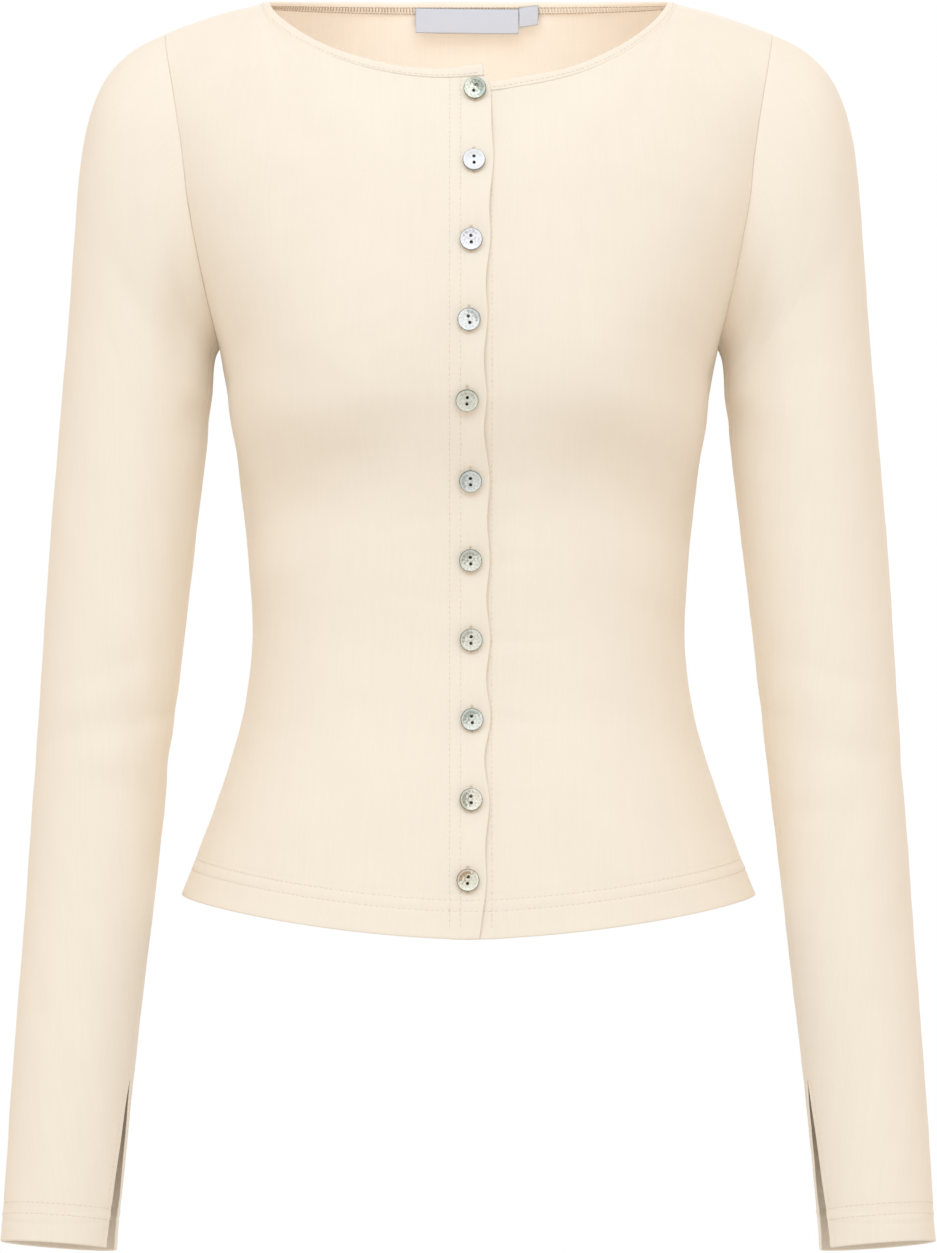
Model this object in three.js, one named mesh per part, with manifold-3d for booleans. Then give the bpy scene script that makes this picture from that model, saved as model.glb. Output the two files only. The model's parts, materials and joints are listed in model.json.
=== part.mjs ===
// A fitted jersey top with long sleeves, eleven buttons down the front and a vent at each wrist,
// in the shape it has when it is worn, with nobody in it. Millimetres, +Z up.
// The front faces -Y, so the wearer's right side is at -X. The origin is the middle of the neck
// opening, level with the neck ends of the shoulder seams.

import * as THREE from 'three';
import { mergeVertices } from 'three/addons/utils/BufferGeometryUtils.js';
import Module from 'manifold-3d';

const wasm = await Module();
wasm.setup();

// ---- cloth ----
const CLOTH = 1.2; // wall of a single panel
const SEAM_GAP = 0.3; // left open between pieces that are sewn together
const LAP_INSET = 2.1; // how far the under front lies below the form where the other front laps it
const LAP_FADE = { from: 13, to: 30 }; // |x| over which that inset fades out

// ---- body: half width and depths of the level sections, from below the hem to the upper chest ----
const BODY = [
  { z: -540, side: 176, front: 119, back: 111 },
  { z: -498, side: 160.5, front: 113, back: 105 },
  { z: -445, side: 140.6, front: 104, back: 95 },
  { z: -400, side: 126.8, front: 95, back: 85 },
  { z: -356, side: 121, front: 90, back: 78 },
  { z: -311, side: 123.2, front: 90, back: 79 },
  { z: -285, side: 125.8, front: 91.5, back: 82.2 },
  { z: -262, side: 128.5, front: 96.5, back: 85.6 },
  { z: -240, side: 131.4, front: 104, back: 89 },
  { z: -221, side: 134.4, front: 110, back: 92 },
  { z: -193, side: 139.5, front: 113, back: 96 },
  { z: -150, side: 148.5, front: 111.5, back: 99 },
  { z: -105, side: 156.3, front: 103, back: 97 },
  { z: -65, side: 160, front: 90, back: 90 },
];
const FLATNESS = { front: 2.5, back: 2.3 }; // exponent of a section: 2 is an ellipse
const PANEL_REACH = 190; // from the centre round to the side seam, near enough for a seam gap
const UNDERARM_Z = -193;
const CHEST_Z = -105; // widest level of the armhole, where the upper patch begins
const BUST = { x: 78, z: -198, wide: 48, tall: 42, rise: 7 }; // soft fullness of the fronts
const HEM = { sideZ: -498, frontDrop: 19, backDrop: 6, round: 1.6 }; // round: 2 is a parabola

// ---- armhole, shoulder and neck ----
const ARMHOLE = { front: 44, back: 48, round: 0.75 }; // swing forward and back; 0.5 is an ellipse
const SHOULDER = { x: 170, y: 2, z: -16, crown: 1.5 }; // sleeve end of the seam, and its crown
const NECK_END = { x: 116, y: 2, z: 0.9 }; // where the shoulder seam meets the binding
// The neck seam, seen from in front (rise, high) and from above (y, deep). high and deep are the
// exponents that round it off.
const NECK = {
  front: { y: -78, rise: -48.7, high: 0.7, deep: 0.55 },
  back: { y: 55, rise: 2.2, high: 0.77, deep: 0.68 },
};
const NECK_POWER = 2.2;
const UNDER_FRONT = { lower: 6.5, high: 0.25 }; // it is fastened lower, all round its neck
const BINDING = { width: 4.8, outside: 0.3, inside: 1.5 };
const STRIP_RISE = 0.2; // how steeply the binding climbs at the ends of the shoulder seams
// Directions in which a panel ends, as y and z parts: at the neck and on top of the shoulder.
const ENDS = {
  front: { neck: [0.42, 0.9], shoulder: [0.985, 0.17] },
  back: { neck: [-0.3, 0.95], shoulder: [-0.99, 0.12] },
};

// ---- front edges and buttons ----
const BAND = [-10, -4.5, 3, 10]; // x of the first columns, across the folded band
const EDGE_WAVE = 1.1; // the free edge swings out beside a button and in between two
const BUTTON = {
  radius: 6.25,
  backRadius: 5.1,
  edgeHeight: 1.1, // where the side is widest
  thick: 2.4,
  rim: 1.3,
  slope: 0.9, // from the rim down to the dish
  dish: 0.8,
  hole: 0.85,
  holeApart: 3.6,
  lift: 0.4, // clear of the cloth
  firstLift: 0.75, // the first button also clears the binding
};
const BUTTON_COUNT = 11;
const FIRST_BUTTON_Z = -55.2;
const SECOND_BUTTON_Z = -95.2;
const BUTTON_PITCH = 43.35;
const BUTTON_SHIFT = [3.5, 3, 1.4, 0.3, -0.8, 1.1, 1.1, 1.4, 1.9, 1.4, -0.3];

// ---- sleeve: centre and half sizes of its rings, from under the arm to the wrist ----
const SLEEVE = [
  { z: -215, x: 185.2, y: 2, wide: 42, deep: 47 },
  { z: -300, x: 193.6, y: 0, wide: 40.5, deep: 44 },
  { z: -400, x: 202.4, y: -6, wide: 38, deep: 40.5 },
  { z: -500, x: 211, y: -16, wide: 35.7, deep: 37 },
  { z: -600, x: 219.6, y: -31, wide: 33.5, deep: 33.5 },
  { z: -690, x: 226.2, y: -46, wide: 32, deep: 30 },
];
const VENT = { z: -597, at: 165, frontGap: 17, backGap: 9 }; // degrees round from the outer side
// How the cap leaves the armhole (fall in degrees) and meets the tube, on top and under the arm:
// first and second are the shares of the way that the curve runs straight at each end.
const CAP = {
  top: { fall: 20, first: 0.3, second: 0.6 },
  under: { fall: 58, first: 0.3, second: 0.33 },
  swing: 0.18,
};
// Troughs pressed into a sleeve: where round it, how high, how wide and tall, how deep, its slant.
const SLEEVE_FOLDS = {
  right: [
    { at: 128, z: -178, wide: 20, tall: 34, deep: 3.2, slant: 0.35 },
    { at: 236, z: -176, wide: 22, tall: 36, deep: 3.4, slant: -0.35 },
    { at: 150, z: -232, wide: 30, tall: 15, deep: 1.8, slant: 0.2 },
    { at: 92, z: -404, wide: 60, tall: 11, deep: 1.6, slant: 0.12 },
    { at: 118, z: -438, wide: 52, tall: 10, deep: 1.5, slant: -0.1 },
    { at: 200, z: -420, wide: 48, tall: 12, deep: 1.4, slant: 0.08 },
  ],
  left: [
    { at: 130, z: -180, wide: 20, tall: 34, deep: 3.2, slant: 0.35 },
    { at: 232, z: -174, wide: 22, tall: 36, deep: 3.4, slant: -0.35 },
    { at: 146, z: -240, wide: 30, tall: 15, deep: 1.8, slant: 0.2 },
    { at: 84, z: -418, wide: 56, tall: 12, deep: 1.3, slant: 0.1 },
  ],
};

// ---- labels sewn inside the back neck ----
// off is how far their tops lie inside the binding's outer face, lean how far their feet go back.
const LABEL = { from: -30, to: 28.5, tall: 14, thick: 0.7, off: 2.1, lean: 1.2, tilt: 0.6 };
const LABEL_SEAM = 0.9; // height on the binding where both are sewn
const TAB = { from: 28.9, to: 39.5, tall: 11, thick: 0.7, off: 2.85, lean: 1.6, tilt: -1.5 };

// ---- mesh counts ----
const LOWER_ROWS = 18;
const MIDDLE_ROWS = 5;
const UPPER_ROWS = 7;
const NECK_COLUMNS = 7;
const SHOULDER_COLUMNS = 5;
const CAP_ROWS = 7;
const TUBE_ROWS = 9;
const VENT_ROWS = 5;
const BUTTON_SIDES = 16;
const HOLE_SIDES = 8;
const LABEL_COLUMNS = 6;
const LABEL_ROWS = [0, 0.5, 1]; // shares of a label's height

const MATERIALS = {
  jersey: { color: 0xf5e8d6, roughness: 0.9, metalness: 0 },
  shell: { color: 0xc9cabf, roughness: 0.25, metalness: 0 },
  satin: { color: 0xe9ebf4, roughness: 0.6, metalness: 0 },
};

const DEGREE = Math.PI / 180;
const TOP_ROW = LOWER_ROWS + MIDDLE_ROWS + UPPER_ROWS;
const ARM_ROW = LOWER_ROWS; // first row that ends on the armhole
const BAND_COLUMNS = BAND.length - 1;
const VENT_ROW = CAP_ROWS + TUBE_ROWS; // rows of a sleeve before this are closed rings

const v3 = (x, y, z) => new THREE.Vector3(x, y, z);
const mix = (a, b, share) => a + (b - a) * share;

/** 0 below from, 1 above to, and a smooth climb between them. */
function ease(from, to, value) {
  const share = THREE.MathUtils.clamp((value - from) / (to - from), 0, 1);
  return share * share * (3 - 2 * share);
}

/** A column of a table at height z, on a smooth curve through its rows. */
function along(table, column, z) {
  const rising = table[0].z < table[1].z;
  const rows = rising ? table : [...table].reverse();
  let i = 0;
  while (i < rows.length - 2 && z > rows[i + 1].z) {
    i += 1;
  }
  const slope = (k) => {
    const below = rows[Math.max(k - 1, 0)];
    const above = rows[Math.min(k + 1, rows.length - 1)];
    return (above[column] - below[column]) / (above.z - below.z);
  };
  const span = rows[i + 1].z - rows[i].z;
  const t = (z - rows[i].z) / span;
  const swing = span * (t * (1 - t) ** 2 * slope(i) - t * t * (1 - t) * slope(i + 1));
  return mix(rows[i][column], rows[i + 1][column], t * t * (3 - 2 * t)) + swing;
}

// ---------------------------------------------------------------- the body's form

/** How far the armhole stands forward or back of the side line at height z. */
function armholeSwing(face, z) {
  const share = Math.min(1, (z - CHEST_Z) / (UNDERARM_Z - CHEST_Z));
  return z <= UNDERARM_Z ? 0 : ARMHOLE[face] * (1 - share * share) ** ARMHOLE.round;
}

/** A point of the level section at height z, an angle round from the centre, given by a chooser. */
function sectionPoint(face, z, chooseAngle) {
  const forward = face === 'front' ? -1 : 1;
  const side = along(BODY, 'side', z);
  const depth = along(BODY, face, z);
  const flat = FLATNESS[face];
  const swing = armholeSwing(face, z) / depth;
  const half = side / (1 - swing * swing) ** (1 / flat);
  const angle = chooseAngle(half, Math.asin(Math.min(1, side / half)));
  const x = half * Math.sin(angle);
  let y = depth * Math.sqrt(Math.max(0, 1 - Math.abs(Math.sin(angle)) ** flat));
  if (face === 'front') {
    const across = (Math.abs(x) - BUST.x) / BUST.wide;
    const up = (z - BUST.z) / BUST.tall;
    y += BUST.rise * Math.exp(-across * across - up * up) * Math.cos(angle) ** 0.5;
  }
  return v3(x, forward * y, z);
}

/** The angle chooser of one column: columns of the band keep their x, the rest share the angle. */
function columnAngle(column, bandX) {
  const columns = NECK_COLUMNS + SHOULDER_COLUMNS;
  return (half, last) => {
    const first = Math.asin(bandX[bandX.length - 1] / half);
    if (column < bandX.length) {
      return Math.asin(bandX[column] / half);
    }
    const seam = last * (1 - SEAM_GAP / 2 / PANEL_REACH);
    return mix(first, seam, (column - bandX.length + 1) / columns);
  };
}

function hemZ(face, x) {
  const share = Math.min(1, Math.abs(x) / BODY[1].side);
  const drop = face === 'front' ? HEM.frontDrop : HEM.backDrop;
  return HEM.sideZ - drop * (1 - share ** HEM.round);
}

/** The seam between panel and binding at x, in front or behind. */
function neckSeam(face, x) {
  const { y, rise, high, deep } = NECK[face];
  const open = 1 - Math.min(1, Math.abs(x) / NECK_END.x) ** NECK_POWER;
  return v3(x, mix(NECK_END.y, y, open ** deep), NECK_END.z + rise * open ** high);
}

/** The panel's top edge in one column: neck seam first, then the shoulder seam. */
function topEdge(face, column, bandX) {
  const neckColumn = column - (bandX.length - 1);
  if (neckColumn <= 0) {
    return neckSeam(face, bandX[column]);
  }
  if (neckColumn < NECK_COLUMNS) {
    const first = Math.asin(bandX[bandX.length - 1] / NECK_END.x);
    return neckSeam(face, NECK_END.x * Math.sin(mix(first, Math.PI / 2, neckColumn / NECK_COLUMNS)));
  }
  const share = (neckColumn - NECK_COLUMNS) / SHOULDER_COLUMNS;
  const seam = share * (1 - SEAM_GAP / 2 / (SHOULDER.x - NECK_END.x));
  return v3(
    mix(NECK_END.x, SHOULDER.x, seam),
    mix(NECK_END.y, SHOULDER.y, seam),
    mix(NECK_END.z, SHOULDER.z, seam) + SHOULDER.crown * Math.sin(Math.PI * share),
  );
}

/** The upper patch of a panel: from the chest section over the shoulder to the top edge. */
function patchPoint(face, column, bandX, share) {
  const choose = columnAngle(column, bandX);
  const start = sectionPoint(face, CHEST_Z, choose);
  const end = topEdge(face, column, bandX);
  const reach = start.distanceTo(end);
  const leave = sectionPoint(face, CHEST_Z + 1, choose).sub(sectionPoint(face, CHEST_Z - 1, choose));
  leave.x /= 2;
  leave.normalize().multiplyScalar(reach);
  const turn = Math.min(1, Math.abs(end.x) / NECK_END.x) ** 2;
  const { neck, shoulder } = ENDS[face];
  const arrive = v3(0, mix(neck[0], shoulder[0], turn), mix(neck[1], shoulder[1], turn));
  arrive.normalize().multiplyScalar(reach);
  const t = share;
  return start.multiplyScalar((1 + 2 * t) * (1 - t) ** 2)
    .addScaledVector(leave, t * (1 - t) ** 2)
    .addScaledVector(end, t * t * (3 - 2 * t))
    .addScaledVector(arrive, -t * t * (1 - t));
}

/** Height of a row below the upper patch, in a column that meets the hem at hem. */
function rowZ(row, hem) {
  if (row <= LOWER_ROWS) {
    return mix(hem, UNDERARM_Z, row / LOWER_ROWS);
  }
  const turn = (row - LOWER_ROWS) / MIDDLE_ROWS * 90 * DEGREE;
  return mix(CHEST_Z, UNDERARM_Z, Math.cos(turn));
}

/** Grid of a panel's outer face on the +X side: rows from hem to top, columns to the side seam. */
function panelGrid(face, bandX, { wave = 0, lower = 0, high = 1 } = {}) {
  const columns = bandX.length - 1 + NECK_COLUMNS + SHOULDER_COLUMNS;
  const grid = [];
  for (let row = 0; row <= TOP_ROW; row += 1) {
    grid.push([]);
    for (let column = 0; column <= columns; column += 1) {
      if (row <= LOWER_ROWS + MIDDLE_ROWS) {
        const hem = hemZ(face, sectionPoint(face, HEM.sideZ, columnAngle(column, bandX)).x);
        const z = rowZ(row, hem);
        const band = bandX.map((x, k) => (k === 0 ? x - wave * edgeWave(z) : x));
        grid[row].push(sectionPoint(face, z, columnAngle(column, band)));
      } else {
        const share = (row - LOWER_ROWS - MIDDLE_ROWS) / UPPER_ROWS;
        const end = patchPoint(face, column, bandX, 1);
        const reach = end.distanceTo(patchPoint(face, column, bandX, 0));
        const open = 1 - Math.min(1, Math.abs(end.x) / NECK_END.x) ** NECK_POWER;
        const short = SEAM_GAP / 2 + lower * open ** high;
        grid[row].push(patchPoint(face, column, bandX, share * (1 - short / reach)));
      }
    }
  }
  return grid;
}

/** Swing of the free front edge at height z: out beside each button, in between two. */
function edgeWave(z) {
  return Math.cos((z - SECOND_BUTTON_Z) / BUTTON_PITCH * 2 * Math.PI);
}

// ---------------------------------------------------------------- grids and walls

/** Unit normals of a grid, on the side that facing (1 or -1) picks. */
function gridNormals(grid, facing) {
  const rows = grid.length - 1;
  const columns = grid[0].length - 1;
  return grid.map((line, r) => line.map((_, c) => {
    const across = grid[r][Math.min(c + 1, columns)].clone().sub(grid[r][Math.max(c - 1, 0)]);
    const up = grid[Math.min(r + 1, rows)][c].clone().sub(grid[Math.max(r - 1, 0)][c]);
    return across.cross(up).normalize().multiplyScalar(facing);
  }));
}

const mirrored = (grid) => grid.map((line) => line.map((p) => v3(-p.x, p.y, p.z)));

/**
 * A closed wall on a grid. offsets(point, row, column) gives how far its outer and inner faces lie
 * along the normal. Rows before openFrom are rings, whose first and last columns coincide.
 */
function wallGeometry(grid, normals, offsets, openFrom = 0) {
  const positions = [];
  const layer = (which) => grid.map((line, r) => line.map((p, c) => (
    p.clone().addScaledVector(normals[r][c], offsets(p, r, c)[which])
  )));
  const outer = layer(0);
  const inner = layer(1);
  const quad = (a, b, c, d) => {
    for (const p of [a, b, c, a, c, d]) {
      positions.push(p.x, p.y, p.z);
    }
  };
  const rows = grid.length - 1;
  const columns = grid[0].length - 1;
  for (let r = 0; r < rows; r += 1) {
    for (let c = 0; c < columns; c += 1) {
      quad(outer[r][c], outer[r][c + 1], outer[r + 1][c + 1], outer[r + 1][c]);
      quad(inner[r][c], inner[r + 1][c], inner[r + 1][c + 1], inner[r][c + 1]);
    }
    if (r >= openFrom) {
      quad(outer[r][0], outer[r + 1][0], inner[r + 1][0], inner[r][0]);
      quad(inner[r][columns], inner[r + 1][columns], outer[r + 1][columns], outer[r][columns]);
    }
  }
  for (let c = 0; c < columns; c += 1) {
    quad(inner[0][c], inner[0][c + 1], outer[0][c + 1], outer[0][c]);
    quad(outer[rows][c], outer[rows][c + 1], inner[rows][c + 1], inner[rows][c]);
  }
  return closedGeometry(positions);
}

/** A merged geometry from loose triangles, turned so that its faces point out. */
function closedGeometry(positions) {
  let volume = 0;
  const corner = (k) => v3(positions[k], positions[k + 1], positions[k + 2]);
  for (let k = 0; k < positions.length; k += 9) {
    volume += corner(k).dot(corner(k + 3).cross(corner(k + 6)));
  }
  const turned = volume < 0 ? positions.slice() : positions;
  if (volume < 0) {
    for (let k = 0; k < positions.length; k += 9) {
      turned.splice(k + 3, 6, ...positions.slice(k + 6, k + 9), ...positions.slice(k + 3, k + 6));
    }
  }
  const geometry = new THREE.BufferGeometry();
  geometry.setAttribute('position', new THREE.Float32BufferAttribute(turned, 3));
  const merged = mergeVertices(geometry, 1e-3);
  merged.computeVertexNormals();
  return merged;
}

function addMesh(group, name, geometry, material) {
  const mesh = new THREE.Mesh(geometry, new THREE.MeshStandardMaterial(MATERIALS[material]));
  mesh.name = name;
  group.add(mesh);
}

// ---------------------------------------------------------------- sleeves

/** Centre, half sizes and directions of the sleeve's ring at height z. */
function sleeveRing(z) {
  const middle = (height) => v3(along(SLEEVE, 'x', height), along(SLEEVE, 'y', height), height);
  const down = middle(z - 1).sub(middle(z + 1)).normalize();
  const outward = v3(1, 0, 0).addScaledVector(down, -down.x).normalize();
  const front = v3(0, -1, 0).addScaledVector(down, down.y);
  front.addScaledVector(outward, -front.dot(outward)).normalize();
  return {
    middle: middle(z),
    down,
    outward: outward.multiplyScalar(along(SLEEVE, 'wide', z)),
    front: front.multiplyScalar(along(SLEEVE, 'deep', z)),
  };
}

function ringPoint(ring, degrees) {
  const turn = degrees * DEGREE;
  return ring.middle.clone()
    .addScaledVector(ring.outward, Math.cos(turn))
    .addScaledVector(ring.front, Math.sin(turn));
}

/** Direction in which the sleeve leaves the armhole, round from the shoulder. */
function leavingDirection(degrees) {
  const turn = degrees * DEGREE;
  const fall = mix(CAP.top.fall, CAP.under.fall, (1 - Math.cos(turn)) / 2) * DEGREE;
  return v3(Math.cos(fall), -CAP.swing * Math.sin(turn), -Math.sin(fall)).normalize();
}

/** Depth of the folds at a place on the sleeve. */
function foldDepth(folds, degrees, z) {
  let depth = 0;
  for (const fold of folds) {
    const round = (degrees - fold.at) / fold.wide;
    const up = (z - fold.z - fold.slant * (degrees - fold.at)) / fold.tall;
    depth += fold.deep * Math.exp(-round * round - up * up);
  }
  return depth;
}

/** Grid of a sleeve on the +X side: rows from armhole to wrist, columns round from the vent. */
function sleeveGrid(armhole, folds) {
  const count = armhole.length;
  const step = 360 / count;
  const firstColumn = Math.round(VENT.at / step);
  const top = sleeveRing(SLEEVE[0].z);
  const wristZ = SLEEVE[SLEEVE.length - 1].z;
  const grid = [];
  for (let row = 0; row <= CAP_ROWS + TUBE_ROWS + VENT_ROWS; row += 1) {
    grid.push([]);
    for (let k = 0; k <= count; k += 1) {
      const index = (firstColumn + k) % count;
      const degrees = index * step;
      let point;
      if (row <= CAP_ROWS) {
        point = capPoint(armhole[index], ringPoint(top, degrees), top.down, degrees, row / CAP_ROWS);
      } else if (row <= CAP_ROWS + TUBE_ROWS) {
        const z = mix(SLEEVE[0].z, VENT.z, (row - CAP_ROWS) / TUBE_ROWS);
        point = ringPoint(sleeveRing(z), degrees);
      } else {
        const share = (row - CAP_ROWS - TUBE_ROWS) / VENT_ROWS;
        const from = VENT.at + VENT.backGap * share;
        const to = VENT.at + 360 - VENT.frontGap * share;
        point = ringPoint(sleeveRing(mix(VENT.z, wristZ, share)), mix(from, to, k / count));
      }
      if (row > 0 && row <= CAP_ROWS + TUBE_ROWS) {
        const ring = sleeveRing(Math.min(point.z, SLEEVE[0].z));
        const inward = ringPoint(ring, degrees).sub(ring.middle).normalize();
        point.addScaledVector(inward, -foldDepth(folds, degrees, point.z) * Math.min(1, row / 2));
      }
      grid[row].push(point);
    }
  }
  return grid;
}

/** A point of the sleeve cap: a curve from the armhole out over the shoulder and down. */
function capPoint(from, to, down, degrees, share) {
  const start = leavingDirection(degrees);
  const begin = from.clone().addScaledVector(start, SEAM_GAP / 2);
  const reach = begin.distanceTo(to);
  const inner = (1 - Math.cos(degrees * DEGREE)) / 2;
  const { top, under } = CAP;
  const first = begin.clone().addScaledVector(start, reach * mix(top.first, under.first, inner));
  const second = to.clone().addScaledVector(down, -reach * mix(top.second, under.second, inner));
  const curve = new THREE.CubicBezierCurve3(begin, first, second, to);
  return curve.getPoint(share);
}

// ---------------------------------------------------------------- buttons and labels

/** A hollow-faced round button with two holes, its back at z = 0 and its face towards +z. */
function buttonGeometry() {
  const { radius, backRadius, edgeHeight, thick, rim, slope, dish } = BUTTON;
  const profile = [
    [0, 0],
    [backRadius, 0],
    [radius, edgeHeight],
    [radius - rim / 3, thick],
    [radius - rim, thick],
    [radius - rim - slope, thick - dish],
    [0, thick - dish],
  ].map(([r, h]) => new THREE.Vector2(r, h));
  const round = new THREE.LatheGeometry(profile, BUTTON_SIDES);
  round.rotateX(Math.PI / 2);
  let solid = manifoldOf(round);
  for (const side of [-1, 1]) {
    const hole = new THREE.CylinderGeometry(BUTTON.hole, BUTTON.hole, 4 * thick, HOLE_SIDES);
    hole.rotateX(Math.PI / 2);
    hole.translate(0, side * BUTTON.holeApart / 2, 0);
    solid = solid.subtract(manifoldOf(hole));
  }
  return geometryOf(solid);
}

function manifoldOf(geometry) {
  const bare = geometry.clone();
  bare.deleteAttribute('normal');
  bare.deleteAttribute('uv');
  const merged = mergeVertices(bare, 1e-4);
  return new wasm.Manifold(new wasm.Mesh({
    numProp: 3,
    vertProperties: new Float32Array(merged.attributes.position.array),
    triVerts: new Uint32Array(merged.index.array),
  }));
}

function geometryOf(solid) {
  const mesh = solid.getMesh();
  const geometry = new THREE.BufferGeometry();
  geometry.setAttribute('position', new THREE.Float32BufferAttribute(mesh.vertProperties, 3));
  geometry.setIndex(new THREE.BufferAttribute(mesh.triVerts, 1));
  geometry.computeVertexNormals();
  return geometry;
}

/** A blank woven label that hangs from the back binding, between from and to. */
function labelGeometry({ from, to, tall, thick, off, lean, tilt }) {
  const grid = LABEL_ROWS.map((fall) => {
    const line = [];
    for (let c = 0; c <= LABEL_COLUMNS; c += 1) {
      const x = mix(from, to, c / LABEL_COLUMNS);
      const edge = neckSeam('back', x).addScaledVector(stripDirection('back', x), LABEL_SEAM);
      const down = tall * fall + tilt * (x - from) / (to - from);
      line.push(v3(x, edge.y - off + lean * fall * fall, edge.z - down));
    }
    return line;
  });
  const behind = grid.map((line) => line.map(() => v3(0, 1, 0)));
  return wallGeometry(grid, behind, () => [0, -thick]);
}

// ---------------------------------------------------------------- the top

/** The armhole loop of one side, from the shoulder down the front, round and up the back. */
function armholeLoop(front, back) {
  const edge = (grid, row) => grid[row][grid[row].length - 1];
  const loop = [];
  for (let row = TOP_ROW; row > ARM_ROW; row -= 1) {
    loop.push(edge(front, row));
  }
  for (let row = ARM_ROW; row < TOP_ROW; row += 1) {
    loop.push(edge(back, row));
  }
  return loop;
}

/** Front, half back and sleeve of one side, at +X, with shared normals along their seams. */
function sideOfTop(frontOptions, folds) {
  const front = panelGrid('front', BAND, frontOptions);
  const back = panelGrid('back', [0]);
  const frontNormals = gridNormals(front, 1);
  const backNormals = gridNormals(back, -1);
  // The shoulder seam is a ridge, so both panels end square to it.
  const seam = v3(SHOULDER.x - NECK_END.x, 0, SHOULDER.z - NECK_END.z);
  const ridge = v3(-seam.z, 0, seam.x).normalize();
  for (let k = NECK_COLUMNS; k <= NECK_COLUMNS + SHOULDER_COLUMNS; k += 1) {
    backNormals[TOP_ROW][k].copy(ridge);
    frontNormals[TOP_ROW][k + BAND_COLUMNS].copy(ridge);
  }
  const sleeve = sleeveGrid(armholeLoop(front, back), folds);
  const sleeveNormals = gridNormals(sleeve, 1);
  const count = sleeve[0].length - 1;
  for (let r = 0; r <= VENT_ROW; r += 1) {
    const shared = sleeveNormals[r][0].clone().add(sleeveNormals[r][count]).normalize();
    sleeveNormals[r][0].copy(shared);
    sleeveNormals[r][count].copy(shared);
  }
  const panelNormals = armholeLoop(frontNormals, backNormals);
  const firstColumn = Math.round(VENT.at / (360 / count));
  for (let k = 0; k <= count; k += 1) {
    const panel = panelNormals[(firstColumn + k) % count];
    const shared = k < count ? sleeveNormals[0][k].clone().add(panel).normalize() : panel;
    sleeveNormals[0][k].copy(shared);
    panel.copy(shared);
  }
  return { front, frontNormals, back, backNormals, sleeve, sleeveNormals };
}

/** A whole row grid from the half at -X, given mirrored, and the half at +X. */
const joinedHalves = (right, left) => left.map((line, r) => [
  ...mirrored(right)[r].slice(1).reverse(),
  ...line,
]);

const plainCloth = () => [0, -CLOTH];
const lappedCloth = (p) => {
  const inset = LAP_INSET * (1 - ease(LAP_FADE.from, LAP_FADE.to, p.x));
  return [-inset, -inset - CLOTH];
};

/** Direction in which the binding stands on the neck seam at x, in front or behind. */
function stripDirection(face, x) {
  const share = THREE.MathUtils.clamp(x / NECK_END.x, -1, 1);
  const lift = Math.sqrt(1 - share * share);
  const [back, up] = ENDS[face].neck;
  return v3(-share, back * lift, up * lift + STRIP_RISE * Math.abs(share)).normalize();
}

/** The columns of the neck seam on one side: where the binding starts, and the normals there. */
function neckColumns({ front, frontNormals, back, backNormals }, sign) {
  const columns = [];
  const place = (face, grid, normals, c) => {
    const p = grid[TOP_ROW][c];
    const from = p.clone().addScaledVector(stripDirection(face, p.x), SEAM_GAP);
    columns.push({ face, sign, from, shared: [normals[TOP_ROW][c]] });
  };
  for (let c = 0; c < BAND_COLUMNS + NECK_COLUMNS; c += 1) {
    place('front', front, frontNormals, c);
  }
  place('back', back, backNormals, NECK_COLUMNS);
  const corner = columns[columns.length - 1];
  corner.from.y = NECK_END.y;
  corner.shared.push(frontNormals[TOP_ROW][BAND_COLUMNS + NECK_COLUMNS]);
  for (let c = NECK_COLUMNS - 1; c >= 0; c -= 1) {
    place('back', back, backNormals, c);
  }
  return columns;
}

/** The neck binding: one strip from the right front's edge round the back to the left front's. */
function bindingGeometry(rightSide, leftSide) {
  const rightColumns = neckColumns(rightSide, -1);
  const leftColumns = neckColumns(leftSide, 1).slice(0, -1).reverse();
  const columns = [...rightColumns, ...leftColumns];
  const across = [0, 0.5, 1];
  const grid = across.map((share) => columns.map(({ face, sign, from }) => {
    const p = from.clone().addScaledVector(stripDirection(face, from.x), share * BINDING.width);
    return v3(sign * p.x, p.y, p.z);
  }));
  const normals = gridNormals(grid, -1);
  columns.forEach(({ sign, shared }, c) => {
    const sum = normals[0][c].clone();
    for (const n of shared) {
      sum.add(v3(sign * n.x, n.y, n.z));
    }
    sum.normalize();
    normals[0][c].copy(sum);
    for (const n of shared) {
      n.set(sign * sum.x, sum.y, sum.z);
    }
  });
  const onLeftFront = (c) => columns[c].sign > 0 && columns[c].face === 'front';
  return wallGeometry(grid, normals, (p, row, c) => {
    const inset = onLeftFront(c) ? -lappedCloth(p)[0] : 0;
    return [BINDING.outside - inset, -BINDING.inside - inset];
  });
}

/** The place of a point (x, z) on a grid seen from in front: the point and its normal. */
function onGrid(grid, normals, x, z) {
  for (let r = 0; r < grid.length - 1; r += 1) {
    for (let c = 0; c < BAND_COLUMNS; c += 1) {
      const [a, b, d] = [grid[r][c], grid[r][c + 1], grid[r + 1][c]];
      const up = (z - a.z) / (d.z - a.z);
      const over = (x - mix(a.x, d.x, up)) / (b.x - a.x);
      if (up >= 0 && up < 1 && over >= 0 && over < 1) {
        const near = a.clone().lerp(b, over);
        const far = d.clone().lerp(grid[r + 1][c + 1], over);
        const normal = normals[r][c].clone().lerp(normals[r + 1][c], up).normalize();
        return { point: near.lerp(far, up), normal };
      }
    }
  }
  throw new Error(`no place on the band at ${x}, ${z}`);
}

const top = new THREE.Group();
const right = sideOfTop({ wave: EDGE_WAVE }, SLEEVE_FOLDS.right);
const left = sideOfTop(UNDER_FRONT, SLEEVE_FOLDS.left);
const binding = bindingGeometry(right, left);

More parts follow.
